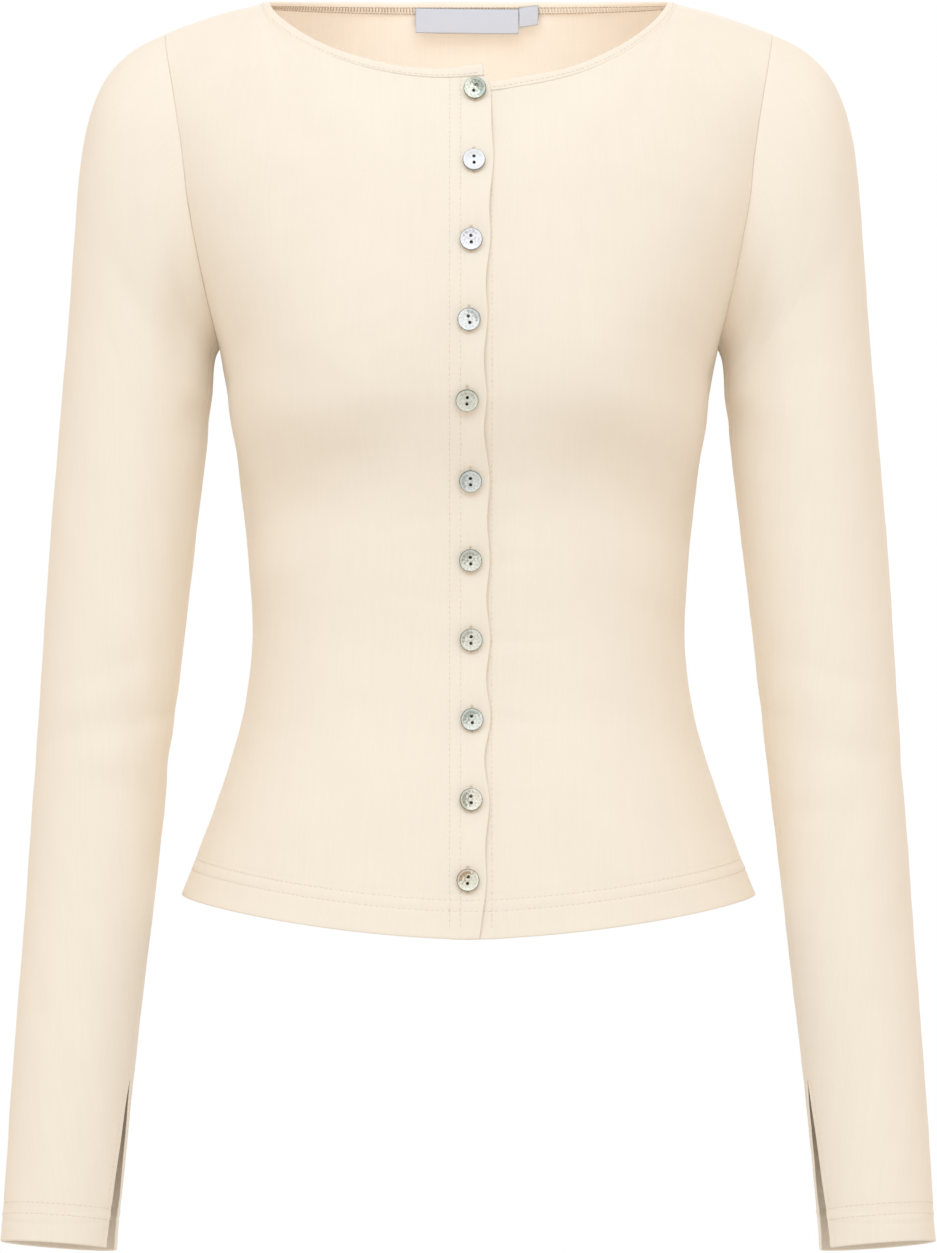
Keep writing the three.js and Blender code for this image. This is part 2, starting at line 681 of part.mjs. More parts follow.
const addWall = (name, grid, normals, offsets, openFrom) => (
  addMesh(top, name, wallGeometry(grid, normals, offsets, openFrom), 'jersey')
);
addWall(
  'back',
  joinedHalves(right.back, left.back),
  joinedHalves(right.backNormals, left.backNormals),
  plainCloth,
);
addWall('front_right', mirrored(right.front), mirrored(right.frontNormals), plainCloth);
addWall('front_left', left.front, left.frontNormals, lappedCloth);
addWall('sleeve_right', mirrored(right.sleeve), mirrored(right.sleeveNormals), plainCloth, VENT_ROW);
addWall('sleeve_left', left.sleeve, left.sleeveNormals, plainCloth, VENT_ROW);
addMesh(top, 'neck_binding', binding, 'jersey');
addMesh(top, 'neck_label', labelGeometry(LABEL), 'satin');
addMesh(top, 'size_tab', labelGeometry(TAB), 'satin');

const buttonShape = buttonGeometry();
for (let k = 0; k < BUTTON_COUNT; k += 1) {
  const z = k === 0 ? FIRST_BUTTON_Z : SECOND_BUTTON_Z - BUTTON_PITCH * (k - 1);
  const seat = onGrid(right.front, right.frontNormals, -BUTTON_SHIFT[k], z);
  const normal = v3(-seat.normal.x, seat.normal.y, seat.normal.z);
  const name = `button_${String(k + 1).padStart(2, '0')}`;
  addMesh(top, name, buttonShape.clone(), 'shell');
  const button = top.children[top.children.length - 1];
  button.position.set(-seat.point.x, seat.point.y, seat.point.z);
  button.position.addScaledVector(normal, k === 0 ? BUTTON.firstLift : BUTTON.lift);
  button.quaternion.setFromRotationMatrix(new THREE.Matrix4().lookAt(normal, v3(0, 0, 0), v3(0, 0, 1)));
}

export default top;
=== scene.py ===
"""Looks of a fitted jersey top with long sleeves and eleven shell buttons, around its CAD solids.

Blender's lengths are metres, and the tables of sizes here are in millimetres. +Z is up, the front
faces -Y and the wearer's right side is at -X. Each cloth piece is a thin closed shell on the form
of its solid, with its edges turned in round, and the sewing lies on that cloth.
"""

import json
import math

import bmesh
import bpy
import numpy as np
from bpy.props import FloatProperty, FloatVectorProperty, PointerProperty
from mathutils import Matrix, Vector

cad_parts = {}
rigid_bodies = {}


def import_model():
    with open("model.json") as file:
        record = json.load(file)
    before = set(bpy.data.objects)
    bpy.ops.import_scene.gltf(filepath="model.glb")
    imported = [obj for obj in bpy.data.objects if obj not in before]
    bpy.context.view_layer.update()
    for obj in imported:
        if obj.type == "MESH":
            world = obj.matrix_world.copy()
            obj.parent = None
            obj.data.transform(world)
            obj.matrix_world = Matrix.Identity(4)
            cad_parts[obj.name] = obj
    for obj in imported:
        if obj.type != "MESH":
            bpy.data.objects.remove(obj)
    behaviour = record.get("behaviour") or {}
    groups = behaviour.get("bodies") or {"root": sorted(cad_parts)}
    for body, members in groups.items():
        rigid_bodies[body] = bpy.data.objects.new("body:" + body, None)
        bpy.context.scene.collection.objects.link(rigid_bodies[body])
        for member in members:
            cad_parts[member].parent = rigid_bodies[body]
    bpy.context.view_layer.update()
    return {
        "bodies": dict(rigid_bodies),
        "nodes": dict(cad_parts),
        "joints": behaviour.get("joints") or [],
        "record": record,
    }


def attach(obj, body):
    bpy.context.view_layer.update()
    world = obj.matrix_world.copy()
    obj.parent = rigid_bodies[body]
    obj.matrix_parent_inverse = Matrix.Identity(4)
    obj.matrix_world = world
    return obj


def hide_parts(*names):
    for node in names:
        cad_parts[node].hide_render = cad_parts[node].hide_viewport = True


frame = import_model()

bl_info = {
    "name": "Jersey Top",
    "version": (1, 0, 0),
    "blender": (4, 5, 0),
    "location": "View3D > Sidebar > Jersey Top",
    "description": "Models a fitted jersey top with long sleeves and shell buttons",
    "category": "Add Mesh",
}

MM = 0.001


def table(columns, *rows):
    """Named columns of numbers, with a row for each section, crease or stretch."""
    return {name: np.array(values, float) for name, values in zip(columns.split(), zip(*rows))}


# ---- body: half width and depths of the level sections ----
BODY = table(
    "z side front back",
    (-540, 176, 119, 111),
    (-498, 160.5, 113, 105),
    (-445, 140.6, 104, 95),
    (-400, 126.8, 95, 85),
    (-356, 121, 90, 78),
    (-311, 123.2, 90, 79),
    (-285, 125.8, 91.5, 82.2),
    (-262, 128.5, 96.5, 85.6),
    (-240, 131.4, 104, 89),
    (-221, 134.4, 110, 92),
    (-193, 139.5, 113, 96),
    (-150, 148.5, 111.5, 99),
    (-105, 156.3, 103, 97),
    (-65, 160, 90, 90),
)
FLATNESS = {"front": 2.5, "back": 2.3}
SEAM_GAP = 0.06
SEAM_ROUND = 0.15  # radius of a turned edge in a seam
EDGE_ROUND = 0.8  # radius of a turned edge that shows
PANEL_REACH = 190
UNDERARM_Z = -193
CHEST_Z = -105
BUST = {"x": 78, "z": -198, "wide": 48, "tall": 42, "rise": 7}
HEM = {"side": -498, "half": 160.5, "front": 19, "back": 6, "round": 1.6}

# ---- armhole, shoulder and neck ----
ARMHOLE = {"front": 44, "back": 48, "round": 0.75}
SHOULDER = {"x": 170, "y": 2, "z": -16, "crown": 1.5}
NECK_END = {"x": 116, "y": 2, "z": 0.9}
NECK = {
    "front": {"y": -78, "rise": -48.7, "high": 0.7, "deep": 0.55},
    "back": {"y": 55, "rise": 2.2, "high": 0.77, "deep": 0.68},
}
NECK_POWER = 2.2
UNDER_FRONT = {"lower": 6.5, "high": 0.25}  # fastened lower, all round its neck
STRIP_RISE = 0.2
# The panels are eased round the neck's ends: over how many columns, and how far each is spread.
CORNER = {"reach": 4.9, "spread": 2.4}
ENDS = {
    "front": {"neck": (0.42, 0.9), "shoulder": (0.985, 0.17)},
    "back": {"neck": (-0.3, 0.95), "shoulder": (-0.99, 0.12)},
}

# ---- rows and columns that a panel's places are counted in, as on its solid ----
LOWER_ROWS = 18
MIDDLE_ROWS = 5
UPPER_ROWS = 7
PATCH_ROW = LOWER_ROWS + MIDDLE_ROWS
TOP_ROW = PATCH_ROW + UPPER_ROWS
NECK_COLUMNS = 7
SHOULDER_COLUMNS = 5
SEAM_COLUMN = NECK_COLUMNS + SHOULDER_COLUMNS
BAND_HALF = 10  # the front bands reach this far to each side of the centre line
BAND_WIDE = 2 * BAND_HALF
ROW_TALL = 17.5  # about how many millimetres one row is below the armhole, and near the top
TOP_ROW_TALL = 15
COLUMN_WIDE = 15.8  # about how many one column is
LAP = {"inset": 2.1, "from": 14, "to": 31}  # how far and where the under front lies behind
LAP_CORNER = 1.7  # the lapping front's neck corner is pulled up by this much

# ---- free edge of the lapping front: beside and between the buttons, from hem to neck ----
FREE_EDGE = table(
    "z x",
    (-519, 5.6),
    (-509, 7.0),
    (-486, 9.7),
    (-467, 9.2),
    (-443, 11.4),
    (-420, 8.7),
    (-398, 12.1),
    (-377, 9.7),
    (-355, 11.9),
    (-333, 9.9),
    (-312, 11.7),
    (-290, 10.3),
    (-268, 11.6),
    (-242, 8.5),
    (-224, 10.0),
    (-203, 8.4),
    (-181, 10.4),
    (-160, 9.6),
    (-138, 12.0),
    (-119, 11.4),
    (-94, 13.6),
    (-76, 12.7),
    (-58, 12.4),
    (-50, 11.4),
    (-45, 9.4),
    (-40, 6.8),
)

# ---- sleeve rings, leaving directions and folds ----
SLEEVE = table(
    "z x y wide deep",
    (-215, 185.2, 2, 42, 47),
    (-300, 193.6, 0, 40.5, 44),
    (-400, 202.4, -6, 38, 40.5),
    (-500, 211, -16, 35.7, 37),
    (-600, 219.6, -31, 33.5, 33.5),
    (-690, 226.2, -46, 32, 30),
)
SLEEVE_TOP_Z = -215
WRIST_Z = -690
CAP_ROWS = 7
TUBE_ROWS = 9
VENT_ROWS = 5
VENT_ROW = CAP_ROWS + TUBE_ROWS
WRIST_ROW = VENT_ROW + VENT_ROWS
ARMHOLE_POINTS = 2 * (TOP_ROW - LOWER_ROWS)
CAP_ROW_TALL = 18.0  # about how many millimetres one row is in the cap, and beside the vent
VENT_ROW_TALL = 18.6
WRIST_ROUND = 205.0  # about how long the way round is at the vent, and higher up
SLEEVE_ROUND = 210
SLEEVE_DEGREE = 0.62  # about how long one degree of the way round is, and at the cuff
CUFF_DEGREE = 0.56
# Height and direction of the vent's top, how many degrees each side has moved away at the wrist,
# and how soon below the top it does (1 would be even).
VENT = {"z": -597, "at": 165, "front_gap": 16, "back_gap": 10, "spread": 0.72}
# How the cap leaves the armhole (fall in degrees) and meets the tube, on top and under the arm.
CAP = {"fall": (20, 58), "first": (0.3, 0.3), "second": (0.6, 0.33), "swing": 0.18}
SLEEVE_FOLDS = {
    "right": table(
        "at z wide tall deep slant",
        (128, -178, 20, 34, 3.2, 0.35),
        (236, -176, 22, 36, 3.4, -0.35),
        (150, -232, 30, 15, 1.8, 0.2),
        (92, -404, 60, 11, 1.6, 0.12),
        (118, -438, 52, 10, 1.5, -0.1),
        (200, -420, 48, 12, 1.4, 0.08),
    ),
    "left": table(
        "at z wide tall deep slant",
        (130, -180, 20, 34, 3.2, 0.35),
        (232, -174, 22, 36, 3.4, -0.35),
        (146, -240, 30, 15, 1.8, 0.2),
        (84, -418, 56, 12, 1.3, 0.1),
    ),
}

# ---- labels ----
LABEL = {"from": -30, "to": 28.5, "tall": 14, "off": 2.6, "lean": 1.2, "tilt": 0.6}
TAB = {"from": 28.9, "to": 39.5, "tall": 11, "off": 3.1, "lean": 1.6, "tilt": -1.5}
LABEL_SEAM = 0.9
LABEL_ROUND = 0.3
LABEL_TURN_IN = 3.4  # width of an end folded under

# ---- buttons ----
BUTTON = {
    "radius": 6.25,
    "back_radius": 5.1,
    "edge_height": 1.1,
    "thick": 2.4,
    "rim": 0.75,
    "slope": 2.0,
    "dish": 0.5,
    "hole": 0.68,
    "hole_apart": 3.6,
    "lift": 0.4,
    "first_lift": 0.75,
}
BUTTONS = table(
    "z x lean turn",
    (-55.2, 3.5, 16, -24),
    (-95.2, 3, 4, 2),
    (-138.55, 1.4, 6, 4),
    (-181.9, 0.3, 6, 14),
    (-225.25, -0.8, 2, -3),
    (-268.6, 1.1, 4, 2),
    (-311.95, 1.1, 5, 3),
    (-355.3, 1.4, 5, -2),
    (-398.65, 1.9, 7, 6),
    (-442, 1.4, 6, 3),
    (-485.35, -0.3, 4, -8),
)
BUTTON_HALF_WAY = 21.7  # half the way from one button to the next

# Shell of each button: its colour, how much darker its zone is, how far that is turned from the
# top, how near the middle it begins, its share of brown, and how strongly the shell is mottled.
PEARL = table(
    "red green blue depth turn zone brown mottle",
    (0.66, 0.68, 0.58, 0.8, 32, 0, 0, 1.4),
    (0.9, 0.91, 0.95, 0.06, 0, 0.3, 0, 0.3),
    (0.84, 0.84, 0.9, 0.5, -8, 0.3, 0, 0.7),
    (0.8, 0.82, 0.83, 0.6, 62, 0.2, 0, 0.8),
    (0.68, 0.69, 0.6, 0.3, 10, 0.26, 0.1, 0.6),
    (0.63, 0.66, 0.64, 0.5, -78, 0.16, 0, 0.8),
    (0.62, 0.62, 0.56, 0.6, -28, 0.06, 0.1, 1.3),
    (0.66, 0.65, 0.58, 0.6, -50, 0.22, 0.1, 1),
    (0.68, 0.71, 0.65, 0.7, -32, 0.04, 0, 0.9),
    (0.72, 0.69, 0.6, 0.8, -84, 0.1, 0.1, 1),
    (0.74, 0.72, 0.6, 0.5, -46, 0.12, 0.9, 0.7),
)
SHELL_BROWN = (0.42, 0.28, 0.17)

# ---- relief of the sewing ----
HEM_ROWS = (15, 21)  # heights of the two stitch rows above a hem or cuff edge
TURN_UP = 23  # height of the turned-up cloth inside a hem
TURN_IN = 21.8  # width of the front's cloth turned in at its band
VENT_TURN_IN = 6.85  # and at the vent's edges
DOUBLED = 0.9  # how much thicker cloth is where it is turned up or in, and at the vent
VENT_DOUBLED = 0.15
BAND_ROW_X = (-10.3, -4.3)  # stitch rows of the lapping front's band
UNDER_ROW_X = 12.8  # stitch row of the under front's band
HEM_RELIEF = {
    "fold": 0.25,  # how far the fold at the edge stands out, and how high up it fades
    "fold_tall": 9,
    "ridge": 0.12,  # the soft ridge between the two stitch rows
    "ridge_wide": 2.4,
    "wave": 0.1,  # the slow waviness of the turned-up cloth
    "wave_long": 11.5,
    "row": 0.22,  # the groove of a stitch row and its puckers
    "row_wide": 0.85,
    "pucker": 0.45,
    "pucker_long": 6.2,
    "step": 0.16,  # the step down where the turned-up cloth ends
    "step_wide": 1.1,
    "tall": 60,  # above this a panel has no relief of its hem
}
BAND_RELIEF = {
    "lift": 0.85,  # how far the free edge lifts between two buttons
    "press": 0.12,  # and how far it lies in at a button
    "edge": (-9, 11),  # x over which the lapping front begins to lift
    "foot": (-515, -495),  # z over which the lift begins above the hem
    "row_wide": 0.7,
    "pucker": 0.4,
    "dimple": 0.18,  # the hollow that a button presses in
    "dimple_wide": 8.5,
}
SEAM_RELIEF = {
    "off_seam": 18,  # creases begin at a side seam and have their full depth this far from it
    "underarm": 0.32,
    "underarm_wide": 0.9,
    "vent_row": 4.2,  # distance of the stitches from the vent's edge
    "vent_deep": 0.16,
    "vent_wide": 0.8,
}

# ---- soft creases: place, length, width, depth and turn ----
FRONT_CREASES = {
    -1: table(
        "u v long wide deep turn",
        (-97, -232, 44, 20, -3.0, 6),
        (-99, -278, 44, 26, 5.2, 8),
        (-132, -203, 26, 8, 1.6, 62),
        (-116, -342, 34, 10, 1.0, 38),
        (-92, -405, 46, 13, 0.8, 24),
        (-30, -333, 22, 4, 0.35, -8),
        (-26, -290, 20, 4, 0.3, 10),
        (-104, -118, 40, 12, 0.6, 58),
    ),
    1: table(
        "u v long wide deep turn",
        (98, -233, 44, 20, -3.0, -6),
        (100, -279, 44, 26, 5.2, -9),
        (131, -202, 26, 8, 1.6, -60),
        (112, -346, 40, 11, 1.1, -36),
        (66, -398, 50, 14, 1.0, -22),
        (27, -312, 17, 3.2, 0.5, 6),
        (28, -356, 20, 3.4, 0.55, 3),
        (27, -399, 20, 3.2, 0.6, -4),
        (26, -268, 16, 3.4, 0.4, 10),
        (27, -442, 15, 3.2, 0.35, -6),
        (100, -122, 38, 12, 0.6, -56),
    ),
}
BACK_CREASES = table(
    "u v long wide deep turn",
    (-92, -338, 44, 9, 1.2, 16),
    (96, -346, 46, 9, 1.2, -14),
    (-38, -356, 40, 8, 0.8, -6),
    (46, -326, 38, 8, 0.8, 8),
    (-118, -196, 34, 9, 1.3, -52),
    (120, -200, 34, 9, 1.3, 50),
    (0, -62, 52, 12, 0.6, 0),
)
SLEEVE_CREASES = table(
    "u v long wide deep turn",
    (-60, -232, 26, 9, 1.2, 34),
    (55, -168, 30, 8, 1.4, -52),
    (96, -228, 22, 6, 0.9, -20),
    (60, -372, 34, 8, 0.8, 16),
    (74, -452, 30, 8, 0.7, -14),
    (-20, -430, 36, 9, 0.5, 8),
    (96, -398, 20, 6, 0.9, 10),
    (40, -560, 30, 9, 0.4, 20),
)

# ---- neck binding ----
# Section of the folded binding: distance up from the seam and out from the panel's face.
BINDING_SECTION = (
    (0.15, 0.02),
    (-0.5, 0.06),
    (-0.78, 0.22),
    (-0.6, 0.4),
    (0.2, 0.5),
    (1.4, 0.46),
    (3.0, 0.58),
    (4.1, 0.42),
    (4.6, 0.02),
    (4.75, -0.42),
    (4.6, -0.86),
    (4.1, -1.22),
    (3.0, -1.36),
    (1.2, -1.3),
    (0.2, -1.34),
    (-0.6, -1.26),
    (-0.8, -1.08),
    (-0.6, -0.92),
    (0.15, -0.88),
)
BINDING_FOOT = (15, 16, 17)  # its rows at the foot of the inner side, and along the outer fold
BINDING_FOLD = (3, 4, 5)
BINDING_HIGH = 4.75
BINDING_PITCH = 1.6  # from place to place along it
NECK_COLUMN_WIDE = 17  # about how many millimetres a panel's column is along the neck
BINDING_TAPE = 2.0  # how much further the binding's inner side reaches down at the back
BINDING_END = {"rise": 2.2, "over": 22}  # how it widens towards the lapping front's edge

# ---- stitches and threads ----
STITCH_SECTIONS = table(
    "place size sunk",
    (-0.5, 0.35, 1),
    (-0.36, 0.86, 0),
    (0.36, 0.86, 0),
    (0.5, 0.35, 1),
)
STITCH_SIDES = 6
STITCH_DIP = 0.2  # how far the ends of a stitch go down into the cloth
STITCH_RISE = 0.06  # how far its middle line stands above the cloth
BRAID_ROWS = (2.1, -1.5)  # heights of the rows inside the back neck, on the binding
BRAID_PITCH = 1.8
BRAID_WIDE = 2.8  # how far a looped thread reaches across the two rows
# Darker thread laid under the pale rows inside the back neck: painted shade in the braid.
TAPE_SHADE_THREAD = (0.5, 0.38, 0.26)
# Near-black thread behind each button, seen through its holes: painted shade in the holes.
HOLE_SHADE_THREAD = (0.07, 0.065, 0.055)
BUTTONHOLE = {"above": 7.7, "below": 6.6, "half": 0.45, "bead": 1.1, "pitch": 0.55, "bar": 1.7}

# ---- light ----
LAMP = (0.54, 0.78, 1.0)  # cool, because the light from all round is warm
LIGHTS = (
    # name, place, aim, width, height, watts, colour
    ("overhead", (-0.25, -2.9, 2.6), (0, 0, -0.35), 4.0, 1.4, 82, LAMP),
    ("back_light", (0.3, 3.0, 1.2), (0, 0, -0.3), 3.0, 1.6, 52, LAMP),
    ("inside_light", (0, -0.045, -0.1), (0, 0.06, -0.02), 0.22, 0.05, 0.1, (1, 0.95, 0.97)),
)
SURROUND = (1.0, 0.885, 0.776)  # colour of the light from all round


# ---------------------------------------------------------------- small helpers

def mix(a, b, share):
    return a + (b - a) * share


def ease(start, end, value):
    """0 before start, 1 past end, and a smooth climb between them."""
    share = np.clip((value - start) / (end - start), 0, 1)
    return share * share * (3 - 2 * share)


def unit(vectors):
    return vectors / np.maximum(np.linalg.norm(vectors, axis=-1, keepdims=True), 1e-12)


def along(rows, column, z):
    """A column of a table at heights z, on a smooth curve through its rows."""
    order = np.argsort(rows["z"])
    places = rows["z"][order]
    values = rows[column][order]
    slopes = np.gradient(values, places)
    slopes[1:-1] = (values[2:] - values[:-2]) / (places[2:] - places[:-2])
    low = np.clip(np.searchsorted(places, z) - 1, 0, len(places) - 2)
    span = places[low + 1] - places[low]
    t = (z - places[low]) / span
    swing = span * (t * (1 - t) ** 2 * slopes[low] - t * t * (1 - t) * slopes[low + 1])
    return mix(values[low], values[low + 1], t * t * (3 - 2 * t)) + swing


def steps(stops, pitch):
    """Places from the first stop to the last, through each stop, about pitch apart."""
    places = [stops[0]]
    for start, end in zip(stops[:-1], stops[1:]):
        count = max(1, round(abs(end - start) / pitch))
        places += [mix(start, end, (k + 1) / count) for k in range(count)]
    return np.array(places, float)


def turned_edge(radius):
    """Distances from a round turned edge at which a shell has its rows."""
    return [radius * (1 - math.cos(math.radians(angle))) for angle in (0, 24, 48, 70)]


def tuck_share(distance, radius):
    """How far a turned edge has opened at a distance from it: 0 at the edge, 1 past its radius."""
    near = np.clip(1 - distance / radius, 0, 1)
    return np.sqrt(1 - near * near)


def groove(distance, wide, deep):
    """Depth of a soft groove, at a distance from its middle."""
    return deep * np.exp(-((distance / wide) ** 2))


def ripples(u, v, seed):
    """Soft unevenness from -1 to 1 of cloth that hangs, at a place in millimetres."""
    total = np.zeros_like(u)
    for k, length in enumerate((31.0, 47.0, 73.0, 118.0)):
        turn = 2.4 * k + seed
        wave = (u * math.cos(turn) + v * math.sin(turn)) / length * 2 * math.pi
        total = total + np.sin(wave + 5 * seed + k) * np.cos(0.6 * wave - 3 * k)
    return total / 4


def creases(rows, u, v):
    """Depth of soft troughs: each has a place, a length, a width, a depth and a turn in degrees."""
    depth = np.zeros_like(u)
    for k in range(len(rows["deep"])):
        turn = math.radians(rows["turn"][k])
        over = u - rows["u"][k]
        up = v - rows["v"][k]
        lengthways = (over * math.cos(turn) + up * math.sin(turn)) / rows["long"][k]
        bend = 0.18 * rows["wide"][k] * np.sin(3 * lengthways + k)
        across = (up * math.cos(turn) - over * math.sin(turn) + bend) / rows["wide"][k]
        depth = depth + rows["deep"][k] * np.exp(-lengthways**2 - across**2)
    return depth


# ---------------------------------------------------------------- form of the panels

def band_x(band, column):
    """x of a place in the front band, whose column runs from -1 at the edge to 0."""
    return band * (1 + 2 * np.clip(column, -1.2, 0))


def section(face, z, column, band):
    """Points of a panel's level section: columns run from the front edge to the side seam."""
    depth = along(BODY, face, z)
    side = along(BODY, "side", z)
    flat = FLATNESS[face]
    share = np.minimum(1, (z - CHEST_Z) / (UNDERARM_Z - CHEST_Z))
    rounded = np.maximum(0, 1 - share * share) ** ARMHOLE["round"]
    swing = np.where(z <= UNDERARM_Z, 0, ARMHOLE[face] * rounded) / depth
    half = side / (1 - swing * swing) ** (1 / flat)
    first = np.arcsin(band / half)
    last = np.arcsin(np.minimum(1, side / half)) * (1 - SEAM_GAP / 2 / PANEL_REACH)
    in_band = np.arcsin(band_x(band, column) / half)
    angle = np.where(column < 0, in_band, mix(first, last, column / SEAM_COLUMN))
    x = half * np.sin(angle)
    y = depth * np.sqrt(np.maximum(0, 1 - np.abs(np.sin(angle)) ** flat))
    if face == "front":
        across = (np.abs(x) - BUST["x"]) / BUST["wide"]
        up = (z - BUST["z"]) / BUST["tall"]
        round_share = np.sqrt(np.maximum(0, np.cos(angle)))
        y = -y - BUST["rise"] * np.exp(-(across**2) - up**2) * round_share
    return np.stack([x, y, z + 0 * x], -1)


def hem_height(face, x):
    share = np.minimum(1, np.abs(x) / HEM["half"])
    return HEM["side"] - HEM[face] * (1 - share ** HEM["round"])


def neck_open(x):
    return 1 - np.minimum(1, np.abs(x) / NECK_END["x"]) ** NECK_POWER


def neck_seam(face, x):
    """The seam between panel and binding at x."""
    rim = NECK[face]
    clear = neck_open(x)
    y = mix(NECK_END["y"], rim["y"], clear ** rim["deep"])
    z = NECK_END["z"] + rim["rise"] * clear ** rim["high"]
    return np.stack([x + 0 * y, y, z], -1)


def top_edge(face, column, band):
    """The top of a panel: neck seam, then shoulder seam."""
    first = math.asin(band / NECK_END["x"])
    round_share = np.clip(column, 0, NECK_COLUMNS) / NECK_COLUMNS
    neck_x = NECK_END["x"] * np.sin(mix(first, math.pi / 2, round_share))
    neck_x = np.where(column < 0, band_x(band, column), neck_x)
    share = (column - NECK_COLUMNS) / SHOULDER_COLUMNS
    reach = 1 - SEAM_GAP / 2 / (SHOULDER["x"] - NECK_END["x"])
    line = [mix(NECK_END[axis], SHOULDER[axis], share * reach) for axis in "xyz"]
    line[2] = line[2] + SHOULDER["crown"] * np.sin(math.pi * share)
    on_shoulder = (column > NECK_COLUMNS)[..., None]
    return np.where(on_shoulder, np.stack(line, -1), neck_seam(face, neck_x))


def patch(face, column, band, share):
    """The upper part of a panel, from the chest section over the shoulder to its top edge."""
    start = section(face, CHEST_Z + 0 * column, column, band)
    near_corner = np.clip(1 - ((column - NECK_COLUMNS) / CORNER["reach"]) ** 2, 0, 1)
    spread = CORNER["spread"] * np.sqrt(np.clip(1 - share, 0, 1)) * near_corner
    end = sum(0.2 * top_edge(face, column + side * spread, band) for side in (-1, -0.5, 0, 0.5, 1))
    reach = np.linalg.norm(end - start, axis=-1, keepdims=True)
    above = section(face, CHEST_Z + 1 + 0 * column, column, band)
    leave = above - section(face, CHEST_Z - 1 + 0 * column, column, band)
    leave[..., 0] /= 2
    turn = np.minimum(1, np.abs(end[..., 0]) / NECK_END["x"]) ** 2
    neck, shoulder = ENDS[face]["neck"], ENDS[face]["shoulder"]
    arrive = [0 * turn, mix(neck[0], shoulder[0], turn), mix(neck[1], shoulder[1], turn)]
    arrive = np.stack(arrive, -1)
    t = share[..., None]
    middle = unit(leave) * reach * t * (1 - t) ** 2 - unit(arrive) * reach * t * t * (1 - t)
    return mix(start, end, t * t * (3 - 2 * t)) + middle


class Panel:
    """One front or the back: places by row and column, on its cloth's outer face."""

    def __init__(self, face, side=1, under=None, relief=None, lapping=False, inset=0.0):
        self.face = face
        self.side = side  # -1 for the wearer's right front, 0 for a back of both halves
        self.band = 0 if face == "back" else BAND_HALF
        self.under = under or {"lower": 0, "high": 1}
        self.relief = relief
        self.lapping = lapping
        self.inset = inset

    def form(self, row, column):
        """Points of the plain form."""
        row, column = np.broadcast_arrays(np.asarray(row, float), np.asarray(column, float))
        sign = self.side or np.where(column < 0, -1.0, 1.0)
        column = column if self.side else np.abs(column)
        hem_x = section(self.face, HEM["side"] + 0 * column, column, self.band)[..., 0]
        low_z = mix(hem_height(self.face, hem_x), UNDERARM_Z, row / LOWER_ROWS)
        turn = np.clip((row - LOWER_ROWS) / MIDDLE_ROWS, 0, 1) * math.pi / 2
        middle_z = mix(CHEST_Z, UNDERARM_Z, np.cos(turn))
        body = section(self.face, np.where(row <= LOWER_ROWS, low_z, middle_z), column, self.band)
        start = patch(self.face, column, self.band, 0 * column)
        end = patch(self.face, column, self.band, 0 * column + 1)
        reach = np.linalg.norm(end - start, axis=-1)
        short = SEAM_GAP / 2 + self.under["lower"] * neck_open(end[..., 0]) ** self.under["high"]
        if self.lapping:
            short = short - LAP_CORNER * (1 - ease(-1, 0.6, column))
        share = np.clip((row - PATCH_ROW) / UPPER_ROWS, 0, 1) * (1 - short / reach)
        upper = patch(self.face, column, self.band, share)
        points = np.where((row <= PATCH_ROW)[..., None], body, upper)
        if self.lapping:
            shift = along(FREE_EDGE, "x", points[..., 2]) - BAND_HALF
            points[..., 0] -= shift * np.clip(-column, 0, 1)
        points[..., 0] *= sign
        return points

    def normals(self, row, column):
        """Unit normals of the plain form, outwards."""
        row, column = np.broadcast_arrays(np.asarray(row, float), np.asarray(column, float))
        near = 0.04
        across = self.form(row, column + near) - self.form(row, column - near)
        up = self.form(row + near, column) - self.form(row - near, column)
        facing = (self.side or 1) * (1 if self.face == "front" else -1)
        return unit(np.cross(across, up)) * facing

    def surface(self, row, column):
        """Points of the cloth's outer face, and normals of the form."""
        points = self.form(row, column)
        normals = self.normals(row, column)
        height = self.relief(self, points, np.asarray(row, float), np.asarray(column, float))
        if self.inset:
            height = height - self.inset * (1 - ease(LAP["from"], LAP["to"], points[..., 0]))
        return points + normals * height[..., None], normals

    def row_above_hem(self, column, distance):
        """The row at a distance above the hem's edge."""
        column = np.asarray(column, float)
        hem = self.form(0 * column, column)[..., 2]
        return distance / (UNDERARM_Z - hem) * LOWER_ROWS


# ---------------------------------------------------------------- form of the sleeves

def fold_depth(folds, degrees, z):
    depth = 0 * z
    for k in range(len(folds["z"])):
        round_share = (degrees % 360 - folds["at"][k]) / folds["wide"][k]
        slanted = folds["z"][k] + folds["slant"][k] * (degrees % 360 - folds["at"][k])
        up = (z - slanted) / folds["tall"][k]
        depth = depth + folds["deep"][k] * np.exp(-(round_share**2) - up**2)
    return depth


def sleeve_ring(z, degrees):
    """A point of the sleeve's ring at height z, with the ring's middle and the arm's direction."""
    middle = np.stack([along(SLEEVE, "x", z), along(SLEEVE, "y", z), z], -1)
    below = np.stack([along(SLEEVE, "x", z - 1), along(SLEEVE, "y", z - 1), z - 1], -1)
    above = np.stack([along(SLEEVE, "x", z + 1), along(SLEEVE, "y", z + 1), z + 1], -1)
    down = unit(below - above)
    outward = unit(np.array([1.0, 0, 0]) - down * down[..., :1])
    front = np.array([0, -1.0, 0]) + down * down[..., 1:2]
    front = unit(front - outward * np.sum(front * outward, -1, keepdims=True))
    turn = np.radians(degrees)[..., None]
    wide = along(SLEEVE, "wide", z)[..., None]
    deep = along(SLEEVE, "deep", z)[..., None]
    point = middle + outward * wide * np.cos(turn) + front * deep * np.sin(turn)
    return point, middle, down


